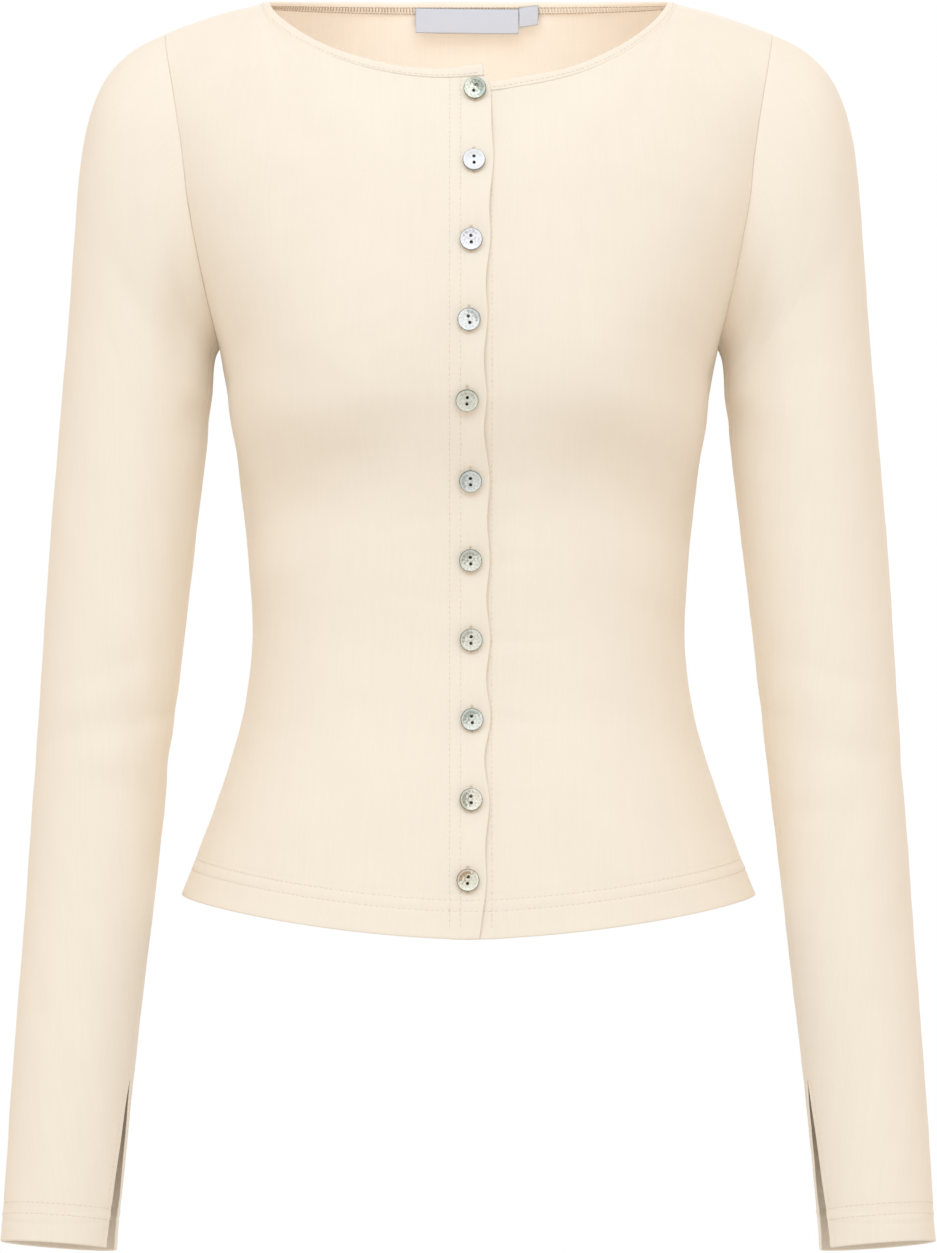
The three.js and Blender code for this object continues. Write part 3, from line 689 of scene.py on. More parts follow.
class Sleeve:
    """One sleeve: places by row, from armhole to wrist, and by share of the way round."""

    def __init__(self, front, back, side, relief):
        self.front = front
        self.back = back
        self.side = side
        self.folds = SLEEVE_FOLDS["left" if side > 0 else "right"]
        self.relief = relief

    def armhole_places(self, degrees):
        """Where a direction round the arm meets the armhole: rows, and whether on the front."""
        index = (degrees % 360) / 360 * ARMHOLE_POINTS
        half = ARMHOLE_POINTS / 2
        return np.where(index <= half, TOP_ROW - index, LOWER_ROWS + index - half), index <= half

    def armhole(self, degrees):
        """Points and normals of the panels' armhole edge, on the +X side."""
        rows, on_front = self.armhole_places(degrees)
        column = SEAM_COLUMN + 0 * rows
        found = []
        for panel in (self.front, self.back):
            plain = Panel(panel.face, side=1)
            found.append((plain.form(rows, column), plain.normals(rows, column)))
        pick = on_front[..., None]
        return tuple(np.where(pick, front, back) for front, back in zip(*found))

    def degrees(self, row, share):
        """Directions round the arm: the two edges part below the vent's top."""
        opening = np.clip((row - VENT_ROW) / VENT_ROWS, 0, 1) ** VENT["spread"]
        start = VENT["at"] + VENT["back_gap"] * opening
        end = VENT["at"] + 360 - VENT["front_gap"] * opening
        return mix(start, end, share)

    def form(self, row, share):
        """Points of the plain form: a curved cap, then rings down to the wrist."""
        row, share = np.broadcast_arrays(np.asarray(row, float), np.asarray(share, float))
        degrees = self.degrees(row, share)
        turn = np.radians(degrees)
        inner = ((1 - np.cos(turn)) / 2)[..., None]
        fall = np.radians(mix(*CAP["fall"], inner[..., 0]))
        start = unit(np.stack([np.cos(fall), -CAP["swing"] * np.sin(turn), -np.sin(fall)], -1))
        begin = self.armhole(degrees)[0] + start * SEAM_GAP / 2
        end, _, down = sleeve_ring(SLEEVE_TOP_Z + 0 * row, degrees)
        reach = np.linalg.norm(end - begin, axis=-1, keepdims=True)
        first = begin + start * reach * mix(*CAP["first"], inner)
        second = end - down * reach * mix(*CAP["second"], inner)
        t = np.clip(row / CAP_ROWS, 0, 1)[..., None]
        cap = begin * (1 - t) ** 3 + 3 * first * t * (1 - t) ** 2
        cap = cap + 3 * second * t * t * (1 - t) + end * t**3
        tube_z = mix(SLEEVE_TOP_Z, VENT["z"], np.clip((row - CAP_ROWS) / TUBE_ROWS, 0, 1))
        vent_z = mix(VENT["z"], WRIST_Z, np.maximum(row - VENT_ROW, 0) / VENT_ROWS)
        tube = sleeve_ring(np.where(row <= VENT_ROW, tube_z, vent_z), degrees)[0]
        points = np.where((row <= CAP_ROWS)[..., None], cap, tube)
        ring_z = np.minimum(points[..., 2], SLEEVE_TOP_Z)
        on_ring, middle, _ = sleeve_ring(ring_z, degrees)
        fading = np.minimum(1, row / 2) * (1 - ease(VENT_ROW - 1, VENT_ROW, row))
        depth = fold_depth(self.folds, degrees, points[..., 2]) * fading
        points = points - unit(on_ring - middle) * depth[..., None]
        points[..., 0] *= self.side
        return points

    def normals(self, row, share):
        """Unit normals of the plain form, outwards, shared with the panels at the armhole."""
        row, share = np.broadcast_arrays(np.asarray(row, float), np.asarray(share, float))
        near_share, near_row = 0.004, 0.05
        across = self.form(row, share + near_share) - self.form(row, share - near_share)
        up = self.form(np.maximum(row - near_row, 0), share) - self.form(row + near_row, share)
        plain = unit(np.cross(across, up)) * -self.side
        panel = self.armhole(self.degrees(row, share))[1]
        panel[..., 0] *= self.side
        shared = unit(plain + panel)
        return np.where((row <= 0)[..., None], shared, plain)

    def surface(self, row, share):
        """Points of the cloth's outer face, and normals of the form."""
        points = self.form(row, share)
        normals = self.normals(row, share)
        height = self.relief(self, points, np.asarray(row, float), np.asarray(share, float))
        return points + normals * height[..., None], normals


# ---------------------------------------------------------------- relief of the cloth

def stitched_hem(around, up):
    """Relief of a turned-up hem at a place round it and above its edge."""
    size = HEM_RELIEF
    ridge = up - sum(HEM_ROWS) / 2
    height = size["fold"] * (1 - ease(0, size["fold_tall"], up))
    height = height + groove(ridge, size["ridge_wide"], size["ridge"])
    wave = size["wave"] * np.sin(around / size["wave_long"])
    height = height + wave * (1 - ease(HEM_ROWS[0] - 1, TURN_UP + 1, up))
    for k, row in enumerate(HEM_ROWS):
        turn = around * 2 * math.pi / size["pucker_long"] + 2 * k + np.sin(around / 17)
        pucker = 1 + size["pucker"] * np.sin(turn)
        height = height - groove(up - row, size["row_wide"], size["row"] * pucker)
    height = height - groove(up - TURN_UP - 0.6, size["step_wide"], size["step"])
    return np.where(up < size["tall"], height, 0)


def stitched_band(z, over, pitch, deep, phase=0.0):
    """Depth of a puckered stitch row up a front's band, at a place beside it."""
    pucker = 1 + BAND_RELIEF["pucker"] * np.sin(z * 2 * math.pi / pitch + phase)
    return groove(over, BAND_RELIEF["row_wide"], deep * pucker)


def beside_button(z):
    """1 at the height of a button, and 0 midway between two."""
    near = np.min(np.abs(z[..., None] - BUTTONS["z"]), axis=-1)
    return np.cos(np.clip(near / BUTTON_HALF_WAY, 0, 1) * math.pi / 2) ** 2


def off_seam(column):
    """0 at a panel's side seam, and 1 where its creases have their full depth."""
    return ease(0, SEAM_RELIEF["off_seam"], (SEAM_COLUMN - np.abs(column)) * COLUMN_WIDE)


def front_relief(panel, points, row, column):
    """Relief of a front: hem, band, buttoning, creases and soft unevenness."""
    size = BAND_RELIEF
    x, z = points[..., 0], points[..., 2]
    height = stitched_hem(x * 1.05, z - hem_height("front", x))
    height = height + 0.35 * ripples(x, z, 1.3 * panel.side) * ease(20, 60, np.abs(x))
    height = height - creases(FRONT_CREASES[panel.side], x, z) * off_seam(column)
    if not panel.lapping:
        return height - stitched_band(z, x - UNDER_ROW_X, 6.1, 0.18)
    lift = size["lift"] * (1 - beside_button(z)) - size["press"]
    height = height + ease(*size["edge"], x) * lift * ease(*size["foot"], z)
    for row_x in BAND_ROW_X:
        height = height - stitched_band(z, x - row_x, 5.8, 0.16, row_x)
    for button_x, button_z in zip(BUTTONS["x"], BUTTONS["z"]):
        off_button = np.hypot(x - button_x, z - button_z)
        height = height - groove(off_button, size["dimple_wide"], size["dimple"])
    return height


def back_relief(panel, points, row, column):
    """Relief of the back: hem, creases and soft unevenness."""
    x, z = points[..., 0], points[..., 2]
    height = stitched_hem(x * 1.1, z - hem_height("back", x))
    return height + 0.4 * ripples(x, z, 2.9) - creases(BACK_CREASES, x, z) * off_seam(column)


def sleeve_relief(sleeve, points, row, share):
    """Relief of a sleeve: cuff, vent, underarm seam, creases and soft unevenness."""
    size = SEAM_RELIEF
    degrees = sleeve.degrees(row, share)
    from_front = (degrees - 360 * (degrees > 270)) * SLEEVE_DEGREE
    z = points[..., 2]
    height = stitched_hem(degrees * CUFF_DEGREE * sleeve.side, z - WRIST_Z)
    height = height - creases(SLEEVE_CREASES, from_front, z) * ease(0, 1, row)
    height = height + 0.4 * ripples(from_front, z, 0.7 + sleeve.side) * ease(0, 2, row)
    to_seam = np.minimum(share, 1 - share) * SLEEVE_ROUND
    above_vent = 1 - ease(VENT_ROW - 0.3, VENT_ROW, row)
    height = height - groove(to_seam, size["underarm_wide"], size["underarm"]) * above_vent
    in_vent = ease(VENT_ROW, VENT_ROW + 0.4, row)
    to_row = to_seam - size["vent_row"]
    return height - groove(to_row, size["vent_wide"], size["vent_deep"]) * in_vent


# ---------------------------------------------------------------- shells of cloth

def mesh_object(name, vertices, faces, materials, face_materials=None):
    """An object with a new mesh of these faces, in the scene."""
    mesh = bpy.data.meshes.new(name)
    mesh.from_pydata(vertices, [], faces)
    for material in materials:
        mesh.materials.append(material)
    if face_materials is not None:
        mesh.polygons.foreach_set("material_index", np.asarray(face_materials, np.int32))
    piece = bpy.data.objects.new(name, mesh)
    bpy.context.scene.collection.objects.link(piece)
    return piece


def reworked(piece, change):
    """Changes a piece's mesh with a function of a bmesh, and shades it smooth."""
    work = bmesh.new()
    work.from_mesh(piece.data)
    change(work)
    work.to_mesh(piece.data)
    work.free()
    piece.data.polygons.foreach_set("use_smooth", np.ones(len(piece.data.polygons), bool))
    return piece


def without_doubles(piece):
    """Merges the places where a shell's outer and inner face meet at its turned edges."""
    near = 2e-6
    return reworked(piece, lambda work: bmesh.ops.remove_doubles(work, verts=work.verts, dist=near))


def face_outwards(piece):
    """Turns a closed piece's faces outwards."""
    return reworked(piece, lambda work: bmesh.ops.recalc_face_normals(work, faces=work.faces))


def add_grain(piece, uv, corners):
    """Gives a piece its map of the cloth's grain: a place in millimetres for each face corner."""
    grain = piece.data.uv_layers.new(name="grain")
    grain.data.foreach_set("uv", (uv[corners] * MM).astype(np.float32).reshape(-1))


def grid_quads(corner):
    """Four-sided faces between the places of a grid."""
    quads = np.stack([corner[:-1, :-1], corner[:-1, 1:], corner[1:, 1:], corner[1:, :-1]], -1)
    return quads.reshape(-1, 4)


def shell(name, outer, normals, thick, tuck, uv, turned_in, materials):
    """A closed shell of cloth under a grid of its outer face.

    thick is its thickness and tuck how far it has opened from its turned edges, at each place.
    turned_in marks the places where the inner face is cloth turned in, so the outer side shows.
    """
    count = outer.shape[0] * outer.shape[1]
    fold = (thick / 2 * (1 - tuck))[..., None]
    front = outer - normals * fold
    behind = outer - normals * (thick[..., None] - fold)
    vertices = np.concatenate([front.reshape(-1, 3), behind.reshape(-1, 3)]) * MM
    quads = grid_quads(np.arange(count).reshape(outer.shape[:2]))
    a, b, c = (vertices[quads[:, k]] for k in (0, 1, 3))
    facing = np.sum(np.cross(b - a, c - a) * normals.reshape(-1, 3)[quads[:, 0]], -1)
    if np.sum(facing) < 0:
        quads = quads[:, ::-1]
    inner_turned = turned_in.reshape(-1)[quads].all(-1)
    faces = np.concatenate([quads, quads[:, ::-1] + count])
    face_materials = np.concatenate([np.zeros(len(quads), int), np.where(inner_turned, 0, 1)])
    piece = mesh_object(name, vertices, faces.tolist(), materials, face_materials)
    add_grain(piece, np.concatenate([uv.reshape(-1, 2)] * 2), faces.reshape(-1))
    return without_doubles(piece)


def arc_lengths(points, axis):
    """Distances along a grid's rows (axis 1) or columns (axis 0) from its first line."""
    gaps = np.linalg.norm(np.diff(points, axis=axis), axis=-1)
    start = np.zeros_like(gaps[:1] if axis == 0 else gaps[:, :1])
    return np.concatenate([start, np.cumsum(gaps, axis=axis)], axis=axis)


def folded_over(distance, width, soft=0.4):
    """1 where cloth lies double beside a turned edge, up to a width from it."""
    return 1 - ease(width - soft, width + soft, distance)


def least_tuck(*edges):
    """How far a place has opened from the nearest of its turned edges."""
    return np.minimum.reduce([tuck_share(distance, radius) for distance, radius in edges])


def panel_rows():
    """Rows of a panel, close together at its hem and its seams."""
    low = [d / ROW_TALL for d in turned_edge(EDGE_ROUND)]
    hem = list(steps([0.9, 26], 1.0) / ROW_TALL)
    body = list(steps([28, LOWER_ROWS * ROW_TALL], 2.6) / ROW_TALL)
    middle = list(steps([LOWER_ROWS, PATCH_ROW], 0.14))[1:]
    upper = list(steps([PATCH_ROW, TOP_ROW - 0.12], 0.15))[1:]
    top = [TOP_ROW - d / TOP_ROW_TALL for d in reversed(turned_edge(SEAM_ROUND))]
    return np.array(low + hem + body + middle + upper + top)


def side_columns(pitch=2.3):
    """Columns of half a panel from the front band or centre line to the side seam."""
    flat = list(steps([0, NECK_COLUMNS], pitch / COLUMN_WIDE))[1:]
    flat += list(steps([NECK_COLUMNS, SEAM_COLUMN - 0.06], pitch / COLUMN_WIDE))[1:]
    return flat + [SEAM_COLUMN - d / COLUMN_WIDE for d in reversed(turned_edge(SEAM_ROUND))]


def panel_grid(columns):
    """Rows and columns of a panel's places, and the turned edges that every panel has."""
    row, column = np.meshgrid(panel_rows(), np.array(columns), indexing="ij")
    hem = (row * ROW_TALL, EDGE_ROUND)
    side = ((SEAM_COLUMN - np.abs(column)) * COLUMN_WIDE, SEAM_ROUND)
    top = ((TOP_ROW - row) * TOP_ROW_TALL, SEAM_ROUND)
    return row, column, (hem, side, top)


def front_piece(name, panel, cloth, materials):
    """The shell of one front, with its band and hem folded double."""
    band = [-1 + d / BAND_WIDE for d in turned_edge(EDGE_ROUND)]
    band += list(steps([-0.95, 0], 0.05))
    row, column, edges = panel_grid(band + side_columns())
    to_edge = (column + 1) * BAND_WIDE
    points, normals = panel.surface(row, column)
    doubled = np.maximum(folded_over(edges[0][0], TURN_UP), folded_over(to_edge, TURN_IN))
    thick = cloth * (1 + DOUBLED * doubled)
    tuck = least_tuck(*edges, (to_edge, EDGE_ROUND))
    across = arc_lengths(points, 1) - BAND_HALF + 4 * np.sin(points[..., 2] / 300)
    uv = np.stack([across * panel.side, arc_lengths(points, 0)], -1)
    return shell(name, points, normals, thick, tuck, uv, doubled > 0.5, materials)


def back_piece(name, panel, cloth, materials):
    """The shell of the back, with its hem folded double."""
    half = [0.0] + side_columns(2.5)
    row, column, edges = panel_grid([-c for c in reversed(half[1:])] + half)
    points, normals = panel.surface(row, column)
    doubled = folded_over(edges[0][0], TURN_UP)
    across = arc_lengths(points, 1)
    across = across - across[:, len(half) - 1 : len(half)]
    uv = np.stack([across, arc_lengths(points, 0)], -1)
    thick = cloth * (1 + DOUBLED * doubled)
    return shell(name, points, normals, thick, least_tuck(*edges), uv, doubled > 0.5, materials)


def sleeve_rows():
    """Rows of a sleeve, close together at its armhole and its cuff."""
    cap = [d / CAP_ROW_TALL for d in turned_edge(SEAM_ROUND)]
    cap += list(steps([0.05, CAP_ROWS], 0.14))
    tube = list(steps([CAP_ROWS, VENT_ROW], 0.075))[1:]
    vent = list(steps([VENT_ROW, WRIST_ROW - 26 / VENT_ROW_TALL], 0.12))[1:]
    above = list(reversed(steps([0.9, 25], 1.0))) + list(reversed(turned_edge(EDGE_ROUND)))
    return np.array(cap + tube + vent + [WRIST_ROW - d / VENT_ROW_TALL for d in above])


def sleeve_shares():
    """Shares of the way round a sleeve, close together at both edges of its vent."""
    start = [d / WRIST_ROUND for d in turned_edge(EDGE_ROUND)]
    start += list(steps([1.0, 7], 0.8) / WRIST_ROUND)
    middle = list(steps([9 / WRIST_ROUND, 1 - 9 / WRIST_ROUND], 2.6 / WRIST_ROUND))
    return np.array(start + middle + [1 - s for s in reversed(start)])


def sleeve_piece(name, sleeve, cloth, materials):
    """The shell of one sleeve: closed rings above the vent, an open edge on each side below."""
    row, share = np.meshgrid(sleeve_rows(), sleeve_shares(), indexing="ij")
    points, normals = sleeve.surface(row, share)
    closed = row[:, 0] <= VENT_ROW
    seam_point = (points[closed, 0] + points[closed, -1]) / 2
    seam_normal = unit(normals[closed, 0] + normals[closed, -1])
    for place in (0, -1):
        points[closed, place] = seam_point
        normals[closed, place] = seam_normal
    to_wrist = (WRIST_ROW - row) * VENT_ROW_TALL
    no_edge = 99
    to_vent = np.where(row > VENT_ROW, np.minimum(share, 1 - share) * WRIST_ROUND, no_edge)
    in_hem = folded_over(to_wrist, TURN_UP)
    in_vent = folded_over(to_vent, VENT_TURN_IN, 0.35) * ease(VENT_ROW, VENT_ROW + 0.3, row)
    thick = cloth * (1 + np.maximum(DOUBLED * in_hem, VENT_DOUBLED * in_vent))
    tuck = least_tuck(
        (row * CAP_ROW_TALL, SEAM_ROUND), (to_wrist, EDGE_ROUND), (to_vent, EDGE_ROUND)
    )
    uv = np.stack([arc_lengths(points, 1) * sleeve.side, -arc_lengths(points, 0)], -1)
    return shell(name, points, normals, thick, tuck, uv, in_hem > 0.5, materials)


def the_panels():
    """The three panels and two sleeves, as places on their cloth."""
    right = Panel("front", side=-1, relief=front_relief, lapping=True)
    left = Panel("front", side=1, relief=front_relief, under=UNDER_FRONT, inset=LAP["inset"])
    back = Panel("back", side=0, relief=back_relief)
    return {
        "right": right,
        "left": left,
        "back": back,
        "sleeve_right": Sleeve(right, back, -1, sleeve_relief),
        "sleeve_left": Sleeve(left, back, 1, sleeve_relief),
    }


# ---------------------------------------------------------------- neck binding

def strip_direction(face, x):
    """Direction in which the binding stands on the neck seam at x."""
    share = np.clip(np.abs(x) / NECK_END["x"], 0, 1)
    lift = np.sqrt(1 - share * share)
    back, up = ENDS[face]["neck"]
    return unit(np.stack([-share * np.sign(x), back * lift, up * lift + STRIP_RISE * share], -1))


def neck_line(panels):
    """The neck seam from the right front's edge round the back to the left front's edge.

    Gives points, directions of the binding, and the share to which a place is on the back.
    """
    half = steps([0, NECK_COLUMNS], BINDING_PITCH / NECK_COLUMN_WIDE)
    fine = np.concatenate([steps([-0.93, 0], BINDING_PITCH / BAND_WIDE)[:-1], half])
    found = []
    for key, face, columns in (
        ("right", "front", fine),
        ("back", "back", -half[::-1][1:]),
        ("back", "back", half[1:]),
        ("left", "front", fine[::-1][1:]),
    ):
        top = TOP_ROW + 0 * columns
        points, _ = panels[key].surface(top, columns)
        direction = strip_direction(face, points[..., 0])
        on_back = np.full(len(columns), 1.0 if face == "back" else 0.0)
        found.append((points, direction, on_back))
    return (np.concatenate(parts) for parts in zip(*found))


def smoothed(values, times):
    """Values along an open line, each moved towards its neighbours, ends kept."""
    values = values.copy()
    for _ in range(times):
        values[1:-1] = (values[:-2] + 2 * values[1:-1] + values[2:]) / 4
    return values


def binding_frame(panels):
    """Points, directions, outward normals and share on the back, along the whole binding."""
    points, direction, on_back = neck_line(panels)
    points = smoothed(points, 2)
    direction = unit(smoothed(direction, 6))
    on_back = smoothed(on_back, 12)
    tangent = unit(np.gradient(points, axis=0))
    outward = unit(np.cross(direction, tangent))
    middle = len(points) // 2
    if outward[middle, 1] < 0:
        outward = -outward
    return points, direction, outward, on_back


def binding_piece(name, panels, materials):
    """The folded strip round the neck, closed at both ends."""
    points, direction, outward, on_back = binding_frame(panels)
    length = arc_lengths(points[None], 1)[0]
    wobble = 0.12 * np.sin(length / 9.0) + 0.08 * np.sin(length / 23.0 + 1)
    scallop = 0.05 * np.sin(length * 2 * math.pi / 2.9)
    near_end = 1 - ease(0, BINDING_END["over"], length)
    rings = []
    for k, (up, out) in enumerate(BINDING_SECTION):
        height = up - (BINDING_TAPE * on_back if k in BINDING_FOOT else 0 * on_back)
        if up > 0.2:
            height = height + wobble + BINDING_END["rise"] * near_end * up / BINDING_HIGH
        depth = out + (scallop if k in BINDING_FOLD else 0 * scallop)
        rings.append(points + direction * height[:, None] + outward * depth[:, None])
    grid = np.stack(rings)
    corner = np.arange(grid.shape[0] * grid.shape[1]).reshape(grid.shape[:2])
    faces = grid_quads(np.concatenate([corner, corner[:1]])).tolist()
    faces += [corner[::-1, 0].tolist(), corner[:, -1].tolist()]
    piece = mesh_object(name, grid.reshape(-1, 3) * MM, faces, materials)
    face_outwards(piece)
    around = arc_lengths(np.array(BINDING_SECTION)[None], 1)[0]
    uv = np.stack(np.broadcast_arrays(around[:, None], length[None]), -1).reshape(-1, 2)
    corners = np.zeros(len(piece.data.loops), np.int32)
    piece.data.loops.foreach_get("vertex_index", corners)
    add_grain(piece, uv, corners)
    return piece


# ---------------------------------------------------------------- labels

def label_piece(name, size, thick, material, seed):
    """A blank woven label that hangs from the back binding, its ends folded under."""
    width = size["to"] - size["from"]
    edge = np.array([0, 0.15, 0.45])
    across = np.concatenate([edge, steps([1.0, width - 1.0], 1.2), width - edge[::-1]])
    fall, over = np.meshgrid(steps([0, 1], 0.05), across, indexing="ij")
    x = size["from"] + over
    seam = neck_seam("back", x) + strip_direction("back", x) * LABEL_SEAM
    down = size["tall"] * fall + size["tilt"] * over / width
    wave = 0.35 * np.sin(over / width * 5 + seed) * fall + 0.15 * np.sin(over / 4 + seed) * fall**2
    y = seam[..., 1] - size["off"] + size["lean"] * fall**2 - wave
    normals = np.zeros_like(seam)
    normals[..., 1] = -1
    to_side = np.minimum(over, width - over)
    lift = 0.08 * folded_over(to_side, LABEL_TURN_IN, 0.2)
    points = np.stack([x, y, seam[..., 2] - down], -1) + lift[..., None] * normals
    to_top, to_foot = fall * size["tall"], (1 - fall) * size["tall"]
    tuck = least_tuck(*((distance, LABEL_ROUND) for distance in (to_side, to_top, to_foot)))
    uv = np.stack([over, -down], -1)
    plain = np.zeros(over.shape, bool)
    body = np.full_like(over, thick)
    return shell(name, points, normals, body, tuck, uv, plain, [material, material])


# ---------------------------------------------------------------- stitches

def sewn(points, normals, pitch=3.0, long=2.3, wide=0.5, high=0.36):
    """Middles, directions and sizes of a row of stitches along a line on the cloth."""
    reach = arc_lengths(points[None], 1)[0]
    count = max(1, int(reach[-1] / pitch))
    uneven = 0.1 * np.sin(7.3 * np.arange(count)) + 0.06 * np.sin(2.1 * np.arange(count) + 1)
    middles = (np.arange(count) + 0.5) * reach[-1] / count + uneven

    def at(places, values):
        return np.stack([np.interp(places, reach, values[:, axis]) for axis in range(3)], -1)

    forward = unit(at(middles + long / 3, points) - at(middles - long / 3, points))
    normal = unit(at(middles, normals))
    sideways = np.cross(normal, forward)
    centre = at(middles, points) + sideways * uneven[:, None] * 0.4
    return {"centre": centre, "forward": forward, "normal": normal, "size": (long, wide, high)}


def crossing(points, normals, pitch, long, wide, high):
    """Stitches that lie across a line, as on a buttonhole."""
    row = sewn(points, normals, pitch, long, wide, high)
    row["forward"] = np.cross(row["normal"], row["forward"])
    return row


def thread_piece(name, rows, materials):
    """One object of many short thread stitches, each closed and dipping in at its ends."""
    vertices, faces = [], []
    turns = 2 * math.pi * np.arange(STITCH_SIDES) / STITCH_SIDES
    sections = STITCH_SECTIONS
    rings = len(sections["place"])
    base = 0
    for row in rows:
        long, wide, high = row["size"]
        sideways = unit(np.cross(row["normal"], row["forward"]))
        shape = (-1, rings, STITCH_SIDES, 1)
        along_it = np.broadcast_to(sections["place"][:, None] * long, (rings, STITCH_SIDES))
        across = np.outer(sections["size"], np.cos(turns)) * wide / 2
        up = np.outer(sections["size"], np.sin(turns)) * high / 2
        up = up - sections["sunk"][:, None] * STITCH_DIP + STITCH_RISE
        ring_points = row["centre"][:, None, None]
        for direction, reach in (
            (row["forward"], along_it), (sideways, across), (row["normal"], up)
        ):
            ring_points = ring_points + direction[:, None, None] * reach.reshape(shape)
        vertices.append(ring_points.reshape(-1, 3))
        for first in range(base, base + ring_points.size // 3, rings * STITCH_SIDES):
            for k in range((rings - 1) * STITCH_SIDES):
                a = first + k
                b = first + k - k % STITCH_SIDES + (k + 1) % STITCH_SIDES
                faces.append((a, b, b + STITCH_SIDES, a + STITCH_SIDES))
            last = first + (rings - 1) * STITCH_SIDES
            faces.append(tuple(range(first + STITCH_SIDES - 1, first - 1, -1)))
            faces.append(tuple(range(last, last + STITCH_SIDES)))
        base += ring_points.size // 3
    piece = mesh_object(name, np.concatenate(vertices) * MM, faces, materials)
    return face_outwards(piece)


def upright_row(panel, x):
    """A line up a front at x, from its hem to its neck seam."""
    z = steps([-511.0, -40.0], 4.0)
    column, row = places_on_front(panel, np.full_like(z, x), z)
    inside = row < TOP_ROW - 1.4 / TOP_ROW_TALL
    return panel.surface(row[inside], column[inside])


def places_on_front(panel, x, z):
    """Columns and rows of places on a front, by x and z, found step by step."""
    over = x * panel.side
    column = np.where(over < BAND_HALF, -1 + (over + BAND_HALF) / BAND_WIDE, over / COLUMN_WIDE)
    row = (z + 510) / ROW_TALL
    for _ in range(14):
        at = panel.form(row, column)
        column = column + (x - at[..., 0]) * panel.side / NECK_COLUMN_WIDE
        row = np.clip(row + (z - at[..., 2]) / ROW_TALL, 0, TOP_ROW)
    return column, row


def on_front(panel, x, z):
    """Points and normals of a front's cloth, by x and z."""
    column, row = places_on_front(panel, x, z)
    return panel.surface(row, column)


# ---------------------------------------------------------------- buttons

def select_nothing():
    if bpy.context.object and bpy.context.object.mode != "OBJECT":
        bpy.ops.object.mode_set(mode="OBJECT")
    bpy.ops.object.select_all(action="DESELECT")


def shaped_button(name):
    """One button with its back at z = 0 and its face up, its outline turned and holes drilled."""
    shape = BUTTON
    select_nothing()
    bpy.ops.mesh.primitive_cylinder_add(
        vertices=56,
        radius=shape["back_radius"] * MM,
        depth=shape["edge_height"] * MM,
        end_fill_type="NGON",
        location=(0, 0, shape["edge_height"] / 2 * MM),
    )
    button = bpy.context.object
    button.name = name
    bpy.ops.object.transform_apply(location=True, rotation=True, scale=True)
    rings = (
        ("widen", (shape["radius"] - shape["back_radius"]), 0),
        ("raise", -0.12, 0.7),
        ("raise", -0.34, shape["thick"] - shape["edge_height"] - 0.7 - 0.1),
        ("raise", -0.3, 0.1),
        ("raise", -(shape["rim"] - 0.34 - 0.3), 0),
        ("raise", -0.2, -0.1),
        ("raise", -(shape["slope"] - 0.2), -(shape["dish"] - 0.22)),
        ("raise", -0.5, -0.1),
        ("raise", -1.6, -0.02),
    )
    bpy.ops.object.mode_set(mode="EDIT")
    bpy.ops.mesh.select_mode(type="FACE")
    bpy.ops.mesh.select_all(action="DESELECT")
    work = bmesh.from_edit_mesh(button.data)
    top = max(work.faces, key=lambda face: face.calc_center_median().z * 1e3 + face.calc_area())
    top.select_set(True)
    bmesh.update_edit_mesh(button.data)
    radius = shape["back_radius"]
    for how, spread, rise in rings:
        if how == "raise":
            bpy.ops.mesh.extrude_region_move(TRANSFORM_OT_translate={"value": (0, 0, rise * MM)})
        scale = (radius + spread) / radius
        bpy.ops.transform.resize(value=(scale, scale, 1))
        radius += spread
    bpy.ops.object.mode_set(mode="OBJECT")
    for side in (-1, 1):
        drill_hole(button, side * shape["hole_apart"] / 2)
    select_nothing()
    button.select_set(True)
    bpy.context.view_layer.objects.active = button
    bevel = button.modifiers.new("softened", "BEVEL")
    bevel.width = 0.09 * MM
    bevel.segments = 2
    bevel.limit_method = "ANGLE"
    bevel.angle_limit = math.radians(38)
    bpy.ops.object.modifier_apply(modifier=bevel.name)
    bpy.ops.object.shade_smooth_by_angle(angle=math.radians(40))
    return button


def drill_hole(button, place):
    """Cuts one thread hole through a button, place millimetres from its middle."""
    select_nothing()
    bpy.ops.mesh.primitive_cylinder_add(
        vertices=20, radius=BUTTON["hole"] * MM, depth=0.02, location=(0, place * MM, 0)
    )
    drill = bpy.context.object
    bpy.ops.object.transform_apply(location=True, rotation=True, scale=True)
    select_nothing()
    button.select_set(True)
    bpy.context.view_layer.objects.active = button
    cut = button.modifiers.new("hole", "BOOLEAN")
    cut.operation = "DIFFERENCE"
    cut.solver = "EXACT"
    cut.object = drill
    bpy.ops.object.modifier_apply(modifier=cut.name)
    bpy.data.objects.remove(drill, do_unlink=True)


def face_uv(piece):
    """A flat map of a button's face, from 0 to 1 across it, before it is put in place."""
    layer = piece.data.uv_layers.new(name="face")
    for loop in piece.data.loops:
        place = piece.data.vertices[loop.vertex_index].co
        layer.data[loop.index].uv = [
            place[axis] / MM / BUTTON["radius"] / 2 + 0.5 for axis in range(2)
        ]


